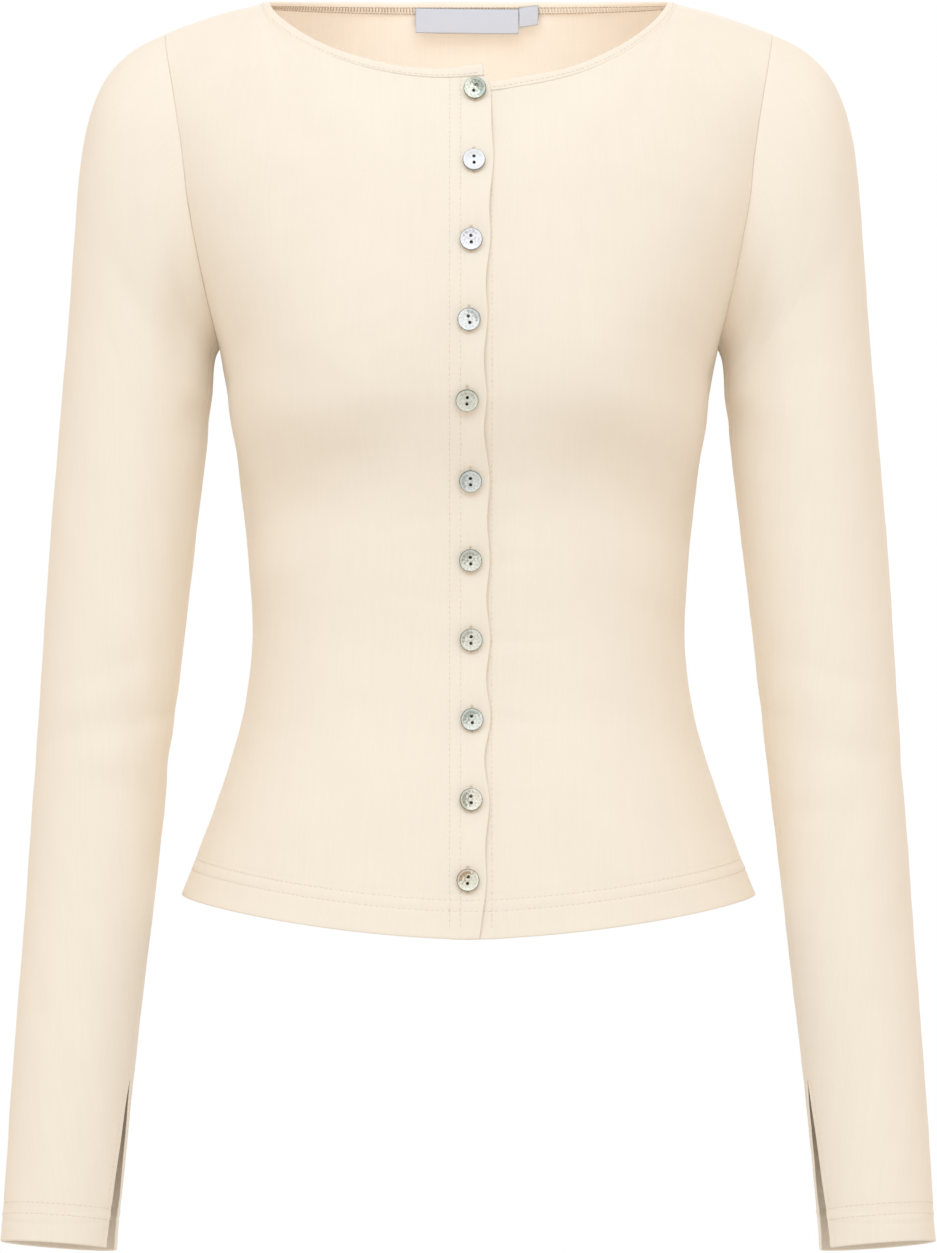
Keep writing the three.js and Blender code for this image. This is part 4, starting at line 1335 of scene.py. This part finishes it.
def button_place(panels, k):
    """A matrix that seats button k on the lapping front, turned and leaning as worn."""
    x, z = BUTTONS["x"][k], BUTTONS["z"][k]
    point, normal = on_front(panels["right"], np.array([x]), np.array([z]))
    lift = BUTTON["first_lift"] if k == 0 else BUTTON["lift"]
    outward = Vector(normal[0])
    lean = math.radians(BUTTONS["lean"][k])
    across = Vector((0, 0, 1)).cross(outward).normalized()
    outward = Matrix.Rotation(lean, 3, across) @ outward
    up = outward.cross(across).normalized()
    axes = Matrix((across, up, outward)).transposed()
    spin = Matrix.Rotation(math.radians(BUTTONS["turn"][k]), 3, "Z")
    place = (axes @ spin).to_4x4()
    tip = math.sin(abs(lean)) * BUTTON["back_radius"]
    place.translation = (Vector(point[0]) + Vector(normal[0]) * (lift + tip)) * MM
    return place


def put_in_place(piece, place):
    """Moves a piece's mesh, so that its object stays at the origin."""
    piece.data.transform(place)
    piece.data.update()


# ---------------------------------------------------------------- materials

def new_material(name, colour, roughness):
    """A material with its main shader, and a helper that adds linked nodes to it."""
    material = bpy.data.materials.new(name)
    material.use_nodes = True
    nodes, links = material.node_tree.nodes, material.node_tree.links
    shader = nodes["Principled BSDF"]
    shader.inputs["Base Color"].default_value = (*colour, 1)
    shader.inputs["Roughness"].default_value = roughness

    def add(kind, inputs=None, **settings):
        node = nodes.new(kind)
        for key, value in settings.items():
            setattr(node, key, value)
        for key, value in (inputs or {}).items():
            if hasattr(value, "is_output"):
                links.new(value, node.inputs[key])
            else:
                node.inputs[key].default_value = value
        return node

    return material, shader, add, links


def wave_of(add, value, pitch, phase=0.0):
    """A sine from 0 to 1 along a value in metres, one turn for each pitch in millimetres."""
    turned = add(
        "ShaderNodeMath",
        {0: value, 1: 2 * math.pi / (pitch * MM), 2: phase},
        operation="MULTIPLY_ADD",
    )
    sine = add("ShaderNodeMath", {0: turned.outputs[0]}, operation="SINE")
    half = add("ShaderNodeMath", {0: sine.outputs[0], 1: 0.5, 2: 0.5}, operation="MULTIPLY_ADD")
    return half.outputs[0]


def jersey_material(name, colour, wale, bump, streaks, reverse=False):
    """Fine knitted cloth on its own map: wales up, courses across, faint long streaks."""
    material, shader, add, links = new_material(name, colour, 0.92)
    shader.inputs["Sheen Weight"].default_value = 0.12
    shader.inputs["Sheen Roughness"].default_value = 0.45
    shader.inputs["Specular IOR Level"].default_value = 0.25
    grain = add("ShaderNodeUVMap", uv_map="grain").outputs["UV"]
    axes = add("ShaderNodeSeparateXYZ", {"Vector": grain}).outputs
    stretch = add("ShaderNodeMapping", {"Vector": grain, "Scale": (1.0, 0.035, 1.0)})
    drawn = add(
        "ShaderNodeTexNoise",
        {"Vector": stretch.outputs["Vector"], "Scale": 620.0, "Detail": 3.0, "Roughness": 0.6},
    ).outputs["Fac"]
    cloudy = add(
        "ShaderNodeTexNoise", {"Vector": grain, "Scale": 26.0, "Detail": 3.0, "Roughness": 0.55}
    ).outputs["Fac"]
    fuzz = add(
        "ShaderNodeTexNoise", {"Vector": grain, "Scale": 2600.0, "Detail": 2.0}
    ).outputs["Fac"]
    shade = add(
        "ShaderNodeMath", {0: drawn, 1: streaks, 2: 1 - streaks * 0.5}, operation="MULTIPLY_ADD"
    ).outputs[0]
    cloud = add(
        "ShaderNodeMath", {0: cloudy, 1: 0.05, 2: 0.975}, operation="MULTIPLY_ADD"
    ).outputs[0]
    both = add("ShaderNodeMath", {0: shade, 1: cloud}, operation="MULTIPLY").outputs[0]
    tinted = add(
        "ShaderNodeVectorMath", {0: (*colour,), "Scale": both}, operation="SCALE"
    ).outputs["Vector"]
    links.new(tinted, shader.inputs["Base Color"])
    wales = wave_of(add, axes["X"], wale)
    courses = wave_of(add, axes["Y"], wale * (1.9 if reverse else 0.78))
    loops = add("ShaderNodeMath", {0: courses, 1: 0.35}, operation="MULTIPLY").outputs[0]
    knit = add("ShaderNodeMath", {0: wales, 1: loops}, operation="ADD").outputs[0]
    height = add(
        "ShaderNodeMath", {0: fuzz, 1: 0.9, 2: knit}, operation="MULTIPLY_ADD"
    ).outputs[0]
    drawn_height = add(
        "ShaderNodeMath", {0: drawn, 1: 1.6, 2: height}, operation="MULTIPLY_ADD"
    ).outputs[0]
    bumped = add(
        "ShaderNodeBump", {"Height": drawn_height, "Strength": bump, "Distance": 0.00012}
    ).outputs["Normal"]
    links.new(bumped, shader.inputs["Normal"])
    return material


def thread_material(name, colour):
    """Matt sewing thread with a faint twist."""
    material, shader, add, links = new_material(name, colour, 0.8)
    place = add("ShaderNodeTexCoord").outputs["Object"]
    uneven = add(
        "ShaderNodeTexNoise", {"Vector": place, "Scale": 900.0, "Detail": 2.0}
    ).outputs["Fac"]
    ramp = add("ShaderNodeMath", {0: uneven, 1: 0.16, 2: 0.92}, operation="MULTIPLY_ADD").outputs[0]
    tinted = add(
        "ShaderNodeVectorMath", {0: (*colour,), "Scale": ramp}, operation="SCALE"
    ).outputs["Vector"]
    links.new(tinted, shader.inputs["Base Color"])
    bumped = add(
        "ShaderNodeBump", {"Height": uneven, "Strength": 0.4, "Distance": 0.0001}
    ).outputs["Normal"]
    links.new(bumped, shader.inputs["Normal"])
    return material


def satin_material(name, colour):
    """Woven satin label tape: fine level threads and a soft gloss."""
    material, shader, add, links = new_material(name, colour, 0.5)
    shader.inputs["Sheen Weight"].default_value = 0.2
    grain = add("ShaderNodeUVMap", uv_map="grain").outputs["UV"]
    axes = add("ShaderNodeSeparateXYZ", {"Vector": grain}).outputs
    weft = wave_of(add, axes["Y"], 0.32)
    warp = wave_of(add, axes["X"], 0.22)
    weave = add("ShaderNodeMath", {0: warp, 1: 0.4, 2: weft}, operation="MULTIPLY_ADD").outputs[0]
    stretch = add("ShaderNodeMapping", {"Vector": grain, "Scale": (0.06, 1.0, 1.0)})
    drawn = add(
        "ShaderNodeTexNoise",
        {"Vector": stretch.outputs["Vector"], "Scale": 1400.0, "Detail": 2.0},
    ).outputs["Fac"]
    ramp = add("ShaderNodeMath", {0: drawn, 1: 0.08, 2: 0.96}, operation="MULTIPLY_ADD").outputs[0]
    tinted = add(
        "ShaderNodeVectorMath", {0: (*colour,), "Scale": ramp}, operation="SCALE"
    ).outputs["Vector"]
    links.new(tinted, shader.inputs["Base Color"])
    bumped = add(
        "ShaderNodeBump", {"Height": weave, "Strength": 0.35, "Distance": 0.00006}
    ).outputs["Normal"]
    links.new(bumped, shader.inputs["Normal"])
    return material


def pearl_material(name, look):
    """Shell: a pale mottled face and a darker zone to one side, with a painted highlight on its rim
    and painted shade on its edge and in its thread holes.
    """
    light = np.array([look["red"], look["green"], look["blue"]])
    dark = mix(light, light * (0.3, 0.36, 0.33), look["depth"])
    dark = mix(dark, np.array(SHELL_BROWN), look["brown"])
    material, shader, add, links = new_material(name, tuple(light), 0.3)
    shader.inputs["Coat Weight"].default_value = 0.4
    shader.inputs["Coat Roughness"].default_value = 0.15

    def blend(share, first, second):
        node = add("ShaderNodeMix", {"Factor": share, 6: first, 7: second}, data_type="RGBA")
        return node.outputs[2]

    def climb(value, start, end, top=1.0):
        spread = {"Value": value, "From Min": start, "From Max": end, "To Max": top}
        return add("ShaderNodeMapRange", spread, interpolation_type="SMOOTHSTEP").outputs["Result"]

    face = add("ShaderNodeUVMap", uv_map="face").outputs["UV"]
    centred = add("ShaderNodeVectorMath", {0: face, 1: (-0.5, -0.5, 0)}, operation="ADD").outputs[0]
    turned = add(
        "ShaderNodeVectorRotate",
        {"Vector": centred, "Angle": math.radians(look["turn"])},
        rotation_type="Z_AXIS",
    ).outputs["Vector"]
    layers = add(
        "ShaderNodeTexWave",
        {"Vector": turned, "Scale": 1.7, "Distortion": 10.0, "Detail": 4.0, "Detail Scale": 2.4},
        bands_direction="Y",
    ).outputs["Fac"]
    specks = add(
        "ShaderNodeTexNoise", {"Vector": turned, "Scale": 8.5, "Detail": 6.0}
    ).outputs["Fac"]
    across = add("ShaderNodeSeparateXYZ", {"Vector": turned}).outputs["Y"]
    bent = add(
        "ShaderNodeMath", {0: layers, 1: 0.2, 2: across}, operation="MULTIPLY_ADD"
    ).outputs[0]
    rough = add("ShaderNodeMath", {0: specks, 1: 0.5, 2: bent}, operation="MULTIPLY_ADD").outputs[0]
    zoned = climb(rough, look["zone"] + 0.3, look["zone"] + 0.46)
    body = blend(zoned, (*light, 1), (*dark, 1))
    mottled = climb(specks, 0.6, 0.44, 0.34 * look["mottle"])
    shade = add(
        "ShaderNodeMath", {0: layers, 1: 0.16 * look["mottle"], 2: 0.8}, operation="MULTIPLY_ADD"
    )
    lighter = add("ShaderNodeMath", {0: shade.outputs[0], 1: mottled}, operation="ADD").outputs[0]
    body = add(
        "ShaderNodeVectorMath", {0: body, "Scale": lighter}, operation="SCALE"
    ).outputs["Vector"]
    out = add("ShaderNodeVectorMath", {0: centred}, operation="LENGTH").outputs["Value"]
    # A pale ring round the rim: painted highlight.
    ring = add("ShaderNodeMath", {0: out, 1: 0.415, 2: 0.035}, operation="COMPARE").outputs[0]
    pale = add("ShaderNodeMath", {0: ring, 1: 0.4}, operation="MULTIPLY").outputs[0]
    body = blend(pale, body, (*np.minimum(1, light * 1.3), 1))
    # The button's outer edge and side are darkened: painted shade.
    body = blend(climb(out, 0.455, 0.48, 0.9), body, (0.13, 0.16, 0.13, 1))
    # The thread holes are painted near black: painted shade in the holes.
    flipped = add("ShaderNodeVectorMath", {0: centred}, operation="ABSOLUTE").outputs[0]
    hole = (0.0, BUTTON["hole_apart"] / BUTTON["radius"] / 4, 0.0)
    to_hole = add(
        "ShaderNodeVectorMath", {0: flipped, 1: hole}, operation="DISTANCE"
    ).outputs["Value"]
    rim = BUTTON["hole"] / BUTTON["radius"] / 2
    body = blend(climb(to_hole, rim + 0.034, rim + 0.008), body, (0.02, 0.02, 0.018, 1))
    links.new(body, shader.inputs["Base Color"])
    bumped = add("ShaderNodeBump", {"Height": specks, "Strength": 0.3, "Distance": 0.0001})
    links.new(bumped.outputs["Normal"], shader.inputs["Normal"])
    return material


# ---------------------------------------------------------------- sizes and colours to change

def a_length(name, description, default):
    return FloatProperty(
        name=name, description=description, default=default, unit="LENGTH", precision=5
    )


def a_colour(name, description, default):
    return FloatVectorProperty(
        name=name, description=description, subtype="COLOR", size=3, default=default
    )


class ClothSettings(bpy.types.PropertyGroup):
    """The knitted cloth."""

    thickness: a_length("Thickness", "One layer of cloth", 0.0008)
    colour: a_colour("Colour", "Outer side", (0.91, 0.815, 0.69))
    # The inner side's colour, made lighter than the outer side: painted light for the inside, which
    # lies in shade.
    lightened_reverse_colour: a_colour("Reverse", "Inner side", (0.95, 0.86, 0.73))
    wale: FloatProperty(
        name="Wale", description="Width of one column of knit loops, in millimetres", default=0.72
    )
    relief: FloatProperty(
        name="Relief", description="Strength of the knit's bump", default=0.35, subtype="FACTOR"
    )


class SewingSettings(bpy.types.PropertyGroup):
    """The sewing thread."""

    pitch: a_length("Pitch", "From stitch to stitch", 0.003)
    length: a_length("Length", "Length of a stitch", 0.0023)
    # Darker than the cloth: partly the thread's own ecru, partly painted shade on the stitches.
    colour: a_colour("Thread", "Sewing thread", (0.84, 0.73, 0.6))
    label_colour: a_colour("Label", "Blank satin labels", (0.6, 0.62, 0.675))


class StageSettings(bpy.types.PropertyGroup):
    """The floor, the light and the camera."""

    distance: a_length("Camera distance", "From the camera to the wearer's middle", 3.2)
    height: a_length("Camera height", "Where the level camera looks along", -0.348)
    lens: FloatProperty(name="Lens", description="Focal length", default=164.1, unit="CAMERA")
    surround: FloatProperty(
        name="Surround", description="Strength of the light from all round", default=0.87, min=0
    )
    floor: a_colour("Floor", "Floor colour", (0.76, 0.76, 0.75))


class TopSettings(bpy.types.PropertyGroup):
    """All that a user may change."""

    cloth: PointerProperty(type=ClothSettings)
    sewing: PointerProperty(type=SewingSettings)
    stage: PointerProperty(type=StageSettings)


def made_once(name, make, *details):
    """The material of that name, made the first time that it is asked for."""
    return bpy.data.materials.get(name) or make(name, *details)


def cloth_materials(settings):
    """The cloth's outer side and its inner side."""
    cloth = settings.cloth
    return [
        made_once(name, jersey_material, tuple(colour), cloth.wale, cloth.relief, streaks, reverse)
        for name, colour, streaks, reverse in (
            ("jersey_face", cloth.colour, 0.05, False),
            # The reverse is lightened: painted light on the shaded inside.
            ("jersey_reverse", cloth.lightened_reverse_colour, 0.07, True),
        )
    ]


def thread_materials(settings):
    return [made_once("sewing_thread", thread_material, tuple(settings.sewing.colour))]


def finish_piece(piece, node):
    """Rides on the body and stands for its CAD node."""
    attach(piece, "root")
    if node:
        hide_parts(node)


# ---------------------------------------------------------------- operators

class JERSEY_TOP_OT_add_back(bpy.types.Operator):
    """Add the back panel with its stitched hem"""

    bl_idname = "jersey_top.add_back"
    bl_label = "Back panel"

    def execute(self, context):
        settings = context.scene.jersey_top
        cloth = settings.cloth.thickness / MM
        piece = back_piece("back_panel", the_panels()["back"], cloth, cloth_materials(settings))
        finish_piece(piece, "back")
        return {"FINISHED"}


class JERSEY_TOP_OT_add_fronts(bpy.types.Operator):
    """Add the lapping right front and the left front under it"""

    bl_idname = "jersey_top.add_fronts"
    bl_label = "Fronts"

    def execute(self, context):
        settings = context.scene.jersey_top
        cloth = settings.cloth.thickness / MM
        panels = the_panels()
        for key, name, node in (
            ("right", "right_front_panel", "front_right"),
            ("left", "left_front_panel", "front_left"),
        ):
            piece = front_piece(name, panels[key], cloth, cloth_materials(settings))
            finish_piece(piece, node)
        return {"FINISHED"}


class JERSEY_TOP_OT_add_sleeves(bpy.types.Operator):
    """Add both long sleeves, vented at the wrist"""

    bl_idname = "jersey_top.add_sleeves"
    bl_label = "Sleeves"

    def execute(self, context):
        settings = context.scene.jersey_top
        cloth = settings.cloth.thickness / MM
        panels = the_panels()
        for side in ("right", "left"):
            piece = sleeve_piece(
                f"{side}_sleeve_cloth", panels[f"sleeve_{side}"], cloth, cloth_materials(settings)
            )
            finish_piece(piece, f"sleeve_{side}")
        return {"FINISHED"}


class JERSEY_TOP_OT_add_binding(bpy.types.Operator):
    """Add the narrow strip folded over the neck edge"""

    bl_idname = "jersey_top.add_binding"
    bl_label = "Neck binding"

    def execute(self, context):
        settings = context.scene.jersey_top
        piece = binding_piece("neck_binding_strip", the_panels(), cloth_materials(settings)[:1])
        finish_piece(piece, "neck_binding")
        return {"FINISHED"}


class JERSEY_TOP_OT_add_labels(bpy.types.Operator):
    """Add the blank neck label and the blank size tab"""

    bl_idname = "jersey_top.add_labels"
    bl_label = "Blank labels"

    def execute(self, context):
        settings = context.scene.jersey_top
        colour = tuple(settings.sewing.label_colour)
        satin = made_once("label_satin", satin_material, colour)
        for name, node, size, seed in (
            ("blank_neck_label", "neck_label", LABEL, 0.4),
            ("blank_size_tab", "size_tab", TAB, 2.1),
        ):
            piece = label_piece(name, size, 0.45, satin, seed)
            finish_piece(piece, node)
        return {"FINISHED"}


class JERSEY_TOP_OT_add_buttons(bpy.types.Operator):
    """Add eleven two-hole shell buttons, each with its own layers of shell"""

    bl_idname = "jersey_top.add_buttons"
    bl_label = "Buttons"

    def execute(self, context):
        panels = the_panels()
        pattern = shaped_button("button_pattern")
        face_uv(pattern)
        for k in range(len(BUTTONS["z"])):
            piece = pattern.copy()
            piece.data = pattern.data.copy()
            piece.name = f"shell_button_{k + 1:02d}"
            context.scene.collection.objects.link(piece)
            piece.data.materials.clear()
            look = {key: column[k] for key, column in PEARL.items()}
            piece.data.materials.append(pearl_material(f"shell_{k + 1:02d}", look))
            put_in_place(piece, button_place(panels, k))
            finish_piece(piece, f"button_{k + 1:02d}")
        bpy.data.objects.remove(pattern, do_unlink=True)
        return {"FINISHED"}


class JERSEY_TOP_OT_add_stage(bpy.types.Operator):
    """Add the pale floor, the soft lights and the camera"""

    bl_idname = "jersey_top.add_stage"
    bl_label = "Stage"

    def execute(self, context):
        add_floor(context.scene.jersey_top.stage)
        add_lights(context.scene.jersey_top.stage)
        add_camera(context.scene.jersey_top.stage)
        return {"FINISHED"}


class JERSEY_TOP_OT_add_stitching(bpy.types.Operator):
    """Add the thread stitches of hems, cuffs, vents, bands and neck"""

    bl_idname = "jersey_top.add_stitching"
    bl_label = "Stitching"

    def execute(self, context):
        settings = context.scene.jersey_top
        sizes = {"pitch": settings.sewing.pitch / MM, "long": settings.sewing.length / MM}
        panels = the_panels()
        groups = {
            "back_panel": hem_rows(panels["back"], -11.9, 11.9),
            "right_front_panel": hem_rows(panels["right"], -0.9, 11.9)
            + [upright_row(panels["right"], x) for x in BAND_ROW_X],
            "left_front_panel": hem_rows(panels["left"], -0.9, 11.9)
            + [upright_row(panels["left"], UNDER_ROW_X)],
            "right_sleeve_cloth": cuff_rows(panels["sleeve_right"]),
            "left_sleeve_cloth": cuff_rows(panels["sleeve_left"]),
            "neck_binding_strip": binding_rows(panels),
        }
        for carrier, lines in groups.items():
            rows = [sewn(points, normals, **sizes) for points, normals in lines]
            if carrier == "neck_binding_strip":
                rows.append(binding_braid(panels, 0, 0.75, 0.6))
            piece = thread_piece(f"stitches_{carrier}", rows, thread_materials(settings))
            finish_piece(piece, None)
        # Tan threads under the pale ones inside the back neck: painted shade.
        tan = [thread_material("tape_shade_thread", TAPE_SHADE_THREAD)]
        finish_piece(thread_piece("shade_stitches_neck_tape", tape_shade_rows(panels), tan), None)
        return {"FINISHED"}


class JERSEY_TOP_OT_add_buttonholes(bpy.types.Operator):
    """Add the worked buttonholes and the thread that holds each button, near black as painted shade
    in its holes
    """

    bl_idname = "jersey_top.add_buttonholes"
    bl_label = "Buttonholes"

    def execute(self, context):
        settings = context.scene.jersey_top
        panels = the_panels()
        rows = []
        for k in range(len(BUTTONS["z"])):
            rows += buttonhole(panels["right"], BUTTONS["x"][k], BUTTONS["z"][k])
        finish_piece(thread_piece("buttonholes", rows, thread_materials(settings)), None)
        ties = []
        for k in range(len(BUTTONS["z"])):
            ties += button_ties(button_place(panels, k))
        # Near-black thread: painted shade in the buttons' holes.
        thread = [thread_material("hole_shade_thread", HOLE_SHADE_THREAD)]
        finish_piece(thread_piece("button_ties", ties, thread), None)
        return {"FINISHED"}


# ---------------------------------------------------------------- rows of sewing

def hem_rows(panel, first, last):
    """Two level lines above a panel's hem."""
    columns = steps([first, last], 0.12)
    return [panel.surface(panel.row_above_hem(columns, above), columns) for above in HEM_ROWS]


def cuff_rows(sleeve):
    """Two lines round a cuff, one up each side of its vent and a bar across the vent's top."""
    round_share = steps([0.012, 0.988], 0.012)
    heights = [WRIST_ROW - above / VENT_ROW_TALL + 0 * round_share for above in HEM_ROWS]
    lines = [sleeve.surface(height, round_share) for height in heights]
    rows = steps([VENT_ROW + 0.15, WRIST_ROW - 1.3], 0.15)
    beside = SEAM_RELIEF["vent_row"] / WRIST_ROUND
    for share in (beside, 1 - beside):
        lines.append(sleeve.surface(rows, share + 0 * rows))
    over = 1 - np.array([beside, beside / 2, 0.1 / WRIST_ROUND])
    lines.append(sleeve.surface(VENT_ROW + 0.1 + 0 * over, over))
    return lines


def inside_back(frame, height, depth):
    """A line on the binding's inner side at the back, and its normals."""
    points, direction, outward, on_back = frame
    behind = on_back > 0.9
    line = points + direction * height - outward * depth
    return line[behind], -outward[behind]


def binding_rows(panels):
    """The line through the binding near its lower edge, and the two inside at the back."""
    frame = binding_frame(panels)
    points, direction, outward, on_back = frame
    right_front = (1 - on_back) * (points[:, 0] < 0)
    wobble = 0.1 * np.sin(arc_lengths(points[None], 1)[0] / 11)
    height = 1.25 - 0.75 * smoothed(right_front, 8) + wobble
    front = points + direction * height[:, None] + outward * 0.5
    inside = slice(2, -2)
    lines = [(front[inside], outward[inside])]
    return lines + [inside_back(frame, above, 1.34) for above in BRAID_ROWS]


def binding_braid(panels, shift, wide, high):
    """Looped threads between the two rows inside the back neck, shift along it."""
    middle, facing = inside_back(binding_frame(panels), sum(BRAID_ROWS) / 2, 1.36)
    first = unit(middle[:1] - middle[1:2]) * shift + middle[:1]
    middle = np.concatenate([first, middle[1:]])
    return crossing(middle, facing, BRAID_PITCH, BRAID_WIDE, wide, high)


def tape_shade_rows(panels):
    """The tan threads that lie between the pale ones inside the back neck: painted shade in the
    braid.
    """
    frame = binding_frame(panels)
    rows = [binding_braid(panels, BRAID_PITCH / 2, 0.75, 0.3)]
    for above in BRAID_ROWS:
        line = inside_back(frame, above - 0.5, 1.33)
        rows.append(sewn(*line, pitch=2.1, long=1.9, wide=0.6, high=0.3))
    return rows


def buttonhole(front, x, z):
    """Beads of cross stitches up both sides of a buttonhole, and a bar at each end."""
    size = BUTTONHOLE
    foot, top = z - size["below"], z + size["above"]
    heights = steps([foot, top], 0.8)
    found = []
    for shift in (-size["half"], size["half"]):
        line = on_front(front, x + shift + 0 * heights, heights)
        found.append(crossing(*line, size["pitch"], size["bead"], 0.5, 0.42))
    level = np.array([-1.0, -0.5, 0, 0.5, 1.0]) * size["bar"] / 2 + x
    for end in (foot, top):
        found.append(crossing(*on_front(front, level, end + 0 * level), 0.45, 1.5, 0.45, 0.5))
    return found


def button_ties(place):
    """Three strands of near-black thread behind a button, from one hole to the other, painted shade
    seen in the holes.
    """
    strands = []
    for shift in (-0.28, 0.02, 0.3):
        ends = [Vector((shift, side * BUTTON["hole_apart"] / 2, -0.2)) * MM for side in (-1, 1)]
        first, last = (np.array(place @ end) / MM for end in ends)
        up = np.array(place.to_3x3() @ Vector((0, 0, 1)))
        strands.append(
            {
                "centre": (first + last)[None] / 2,
                "forward": unit(last - first)[None],
                "normal": up[None],
                "size": (float(np.linalg.norm(last - first)), 0.3, 0.28),
            }
        )
    return strands


# ---------------------------------------------------------------- stage

def add_floor(stage):
    """A plain pale disc of floor, well below the cloth."""
    select_nothing()
    bpy.ops.mesh.primitive_circle_add(
        vertices=96, radius=3.3, fill_type="NGON", location=(0, 0, -1.45)
    )
    floor = bpy.context.object
    floor.name = "pale_floor"
    bpy.ops.object.transform_apply(location=True, rotation=True, scale=True)
    material, shader, add, links = new_material("pale_floor", tuple(stage.floor), 0.7)
    place = add("ShaderNodeTexCoord").outputs["Object"]
    faint = add("ShaderNodeTexNoise", {"Vector": place, "Scale": 3.0, "Detail": 3.0}).outputs["Fac"]
    ramp = add("ShaderNodeMath", {0: faint, 1: 0.03, 2: 0.985}, operation="MULTIPLY_ADD").outputs[0]
    tinted = add("ShaderNodeVectorMath", {0: tuple(stage.floor), "Scale": ramp}, operation="SCALE")
    links.new(tinted.outputs["Vector"], shader.inputs["Base Color"])
    floor.data.materials.append(material)


def add_lights(stage):
    """Large soft lights, and a surround that is white where the camera sees it."""
    for name, place, aim, width, height, watts, colour in LIGHTS:
        light = bpy.data.lights.new(name, "AREA")
        light.shape = "RECTANGLE"
        light.size = width
        light.size_y = height
        light.energy = watts
        light.color = colour
        lamp = bpy.data.objects.new(name, light)
        lamp.location = place
        lamp.rotation_euler = (Vector(aim) - Vector(place)).to_track_quat("-Z", "Y").to_euler()
        lamp.visible_camera = False
        bpy.context.scene.collection.objects.link(lamp)
    world = bpy.data.worlds.new("surround")
    bpy.context.scene.world = world
    world.use_nodes = True
    nodes, links = world.node_tree.nodes, world.node_tree.links
    nodes.clear()
    path = nodes.new("ShaderNodeLightPath")
    seen = nodes.new("ShaderNodeBackground")
    seen.inputs["Color"].default_value = (1, 1, 1, 1)
    lit = nodes.new("ShaderNodeBackground")
    lit.inputs["Color"].default_value = (*SURROUND, 1)
    lit.inputs["Strength"].default_value = stage.surround
    mixed = nodes.new("ShaderNodeMixShader")
    output = nodes.new("ShaderNodeOutputWorld")
    links.new(path.outputs["Is Camera Ray"], mixed.inputs["Fac"])
    links.new(lit.outputs["Background"], mixed.inputs[1])
    links.new(seen.outputs["Background"], mixed.inputs[2])
    links.new(mixed.outputs["Shader"], output.inputs["Surface"])
    bpy.context.scene.view_settings.view_transform = "Standard"


def add_camera(stage):
    """A level camera in front of the wearer's middle."""
    camera = bpy.data.cameras.new("camera")
    camera.sensor_fit = "VERTICAL"
    camera.sensor_height = 36
    camera.lens = stage.lens
    viewer = bpy.data.objects.new("camera", camera)
    viewer.location = (0, -stage.distance, stage.height)
    viewer.rotation_euler = (math.pi / 2, 0, 0)
    bpy.context.scene.collection.objects.link(viewer)
    bpy.context.scene.camera = viewer


# ---------------------------------------------------------------- panel and registration

class JERSEY_TOP_PT_sidebar(bpy.types.Panel):
    """Lists the pieces of the jersey top and their sizes and colours"""

    bl_idname = "JERSEY_TOP_PT_sidebar"
    bl_label = "Jersey Top"
    bl_space_type = "VIEW_3D"
    bl_region_type = "UI"
    bl_category = "Jersey Top"

    def draw(self, context):
        settings = context.scene.jersey_top
        for group in (settings.cloth, settings.sewing, settings.stage):
            box = self.layout.box()
            for name in group.bl_rna.properties.keys():
                if name not in ("rna_type", "name"):
                    box.prop(group, name)
        for operator in OPERATORS:
            self.layout.operator(operator.bl_idname)


OPERATORS = (
    JERSEY_TOP_OT_add_back,
    JERSEY_TOP_OT_add_fronts,
    JERSEY_TOP_OT_add_sleeves,
    JERSEY_TOP_OT_add_binding,
    JERSEY_TOP_OT_add_labels,
    JERSEY_TOP_OT_add_buttons,
    JERSEY_TOP_OT_add_stitching,
    JERSEY_TOP_OT_add_buttonholes,
    JERSEY_TOP_OT_add_stage,
)
SETTINGS = (ClothSettings, SewingSettings, StageSettings, TopSettings)


def register():
    for each in (*SETTINGS, *OPERATORS, JERSEY_TOP_PT_sidebar):
        bpy.utils.register_class(each)
    bpy.types.Scene.jersey_top = PointerProperty(type=TopSettings)


def unregister():
    del bpy.types.Scene.jersey_top
    for each in reversed((*SETTINGS, *OPERATORS, JERSEY_TOP_PT_sidebar)):
        bpy.utils.unregister_class(each)


def main():
    register()
    bpy.ops.jersey_top.add_back()
    bpy.ops.jersey_top.add_fronts()
    bpy.ops.jersey_top.add_sleeves()
    bpy.ops.jersey_top.add_binding()
    bpy.ops.jersey_top.add_labels()
    bpy.ops.jersey_top.add_buttons()
    bpy.ops.jersey_top.add_stitching()
    bpy.ops.jersey_top.add_buttonholes()
    bpy.ops.jersey_top.add_stage()


if __name__ == "__main__":
    main()
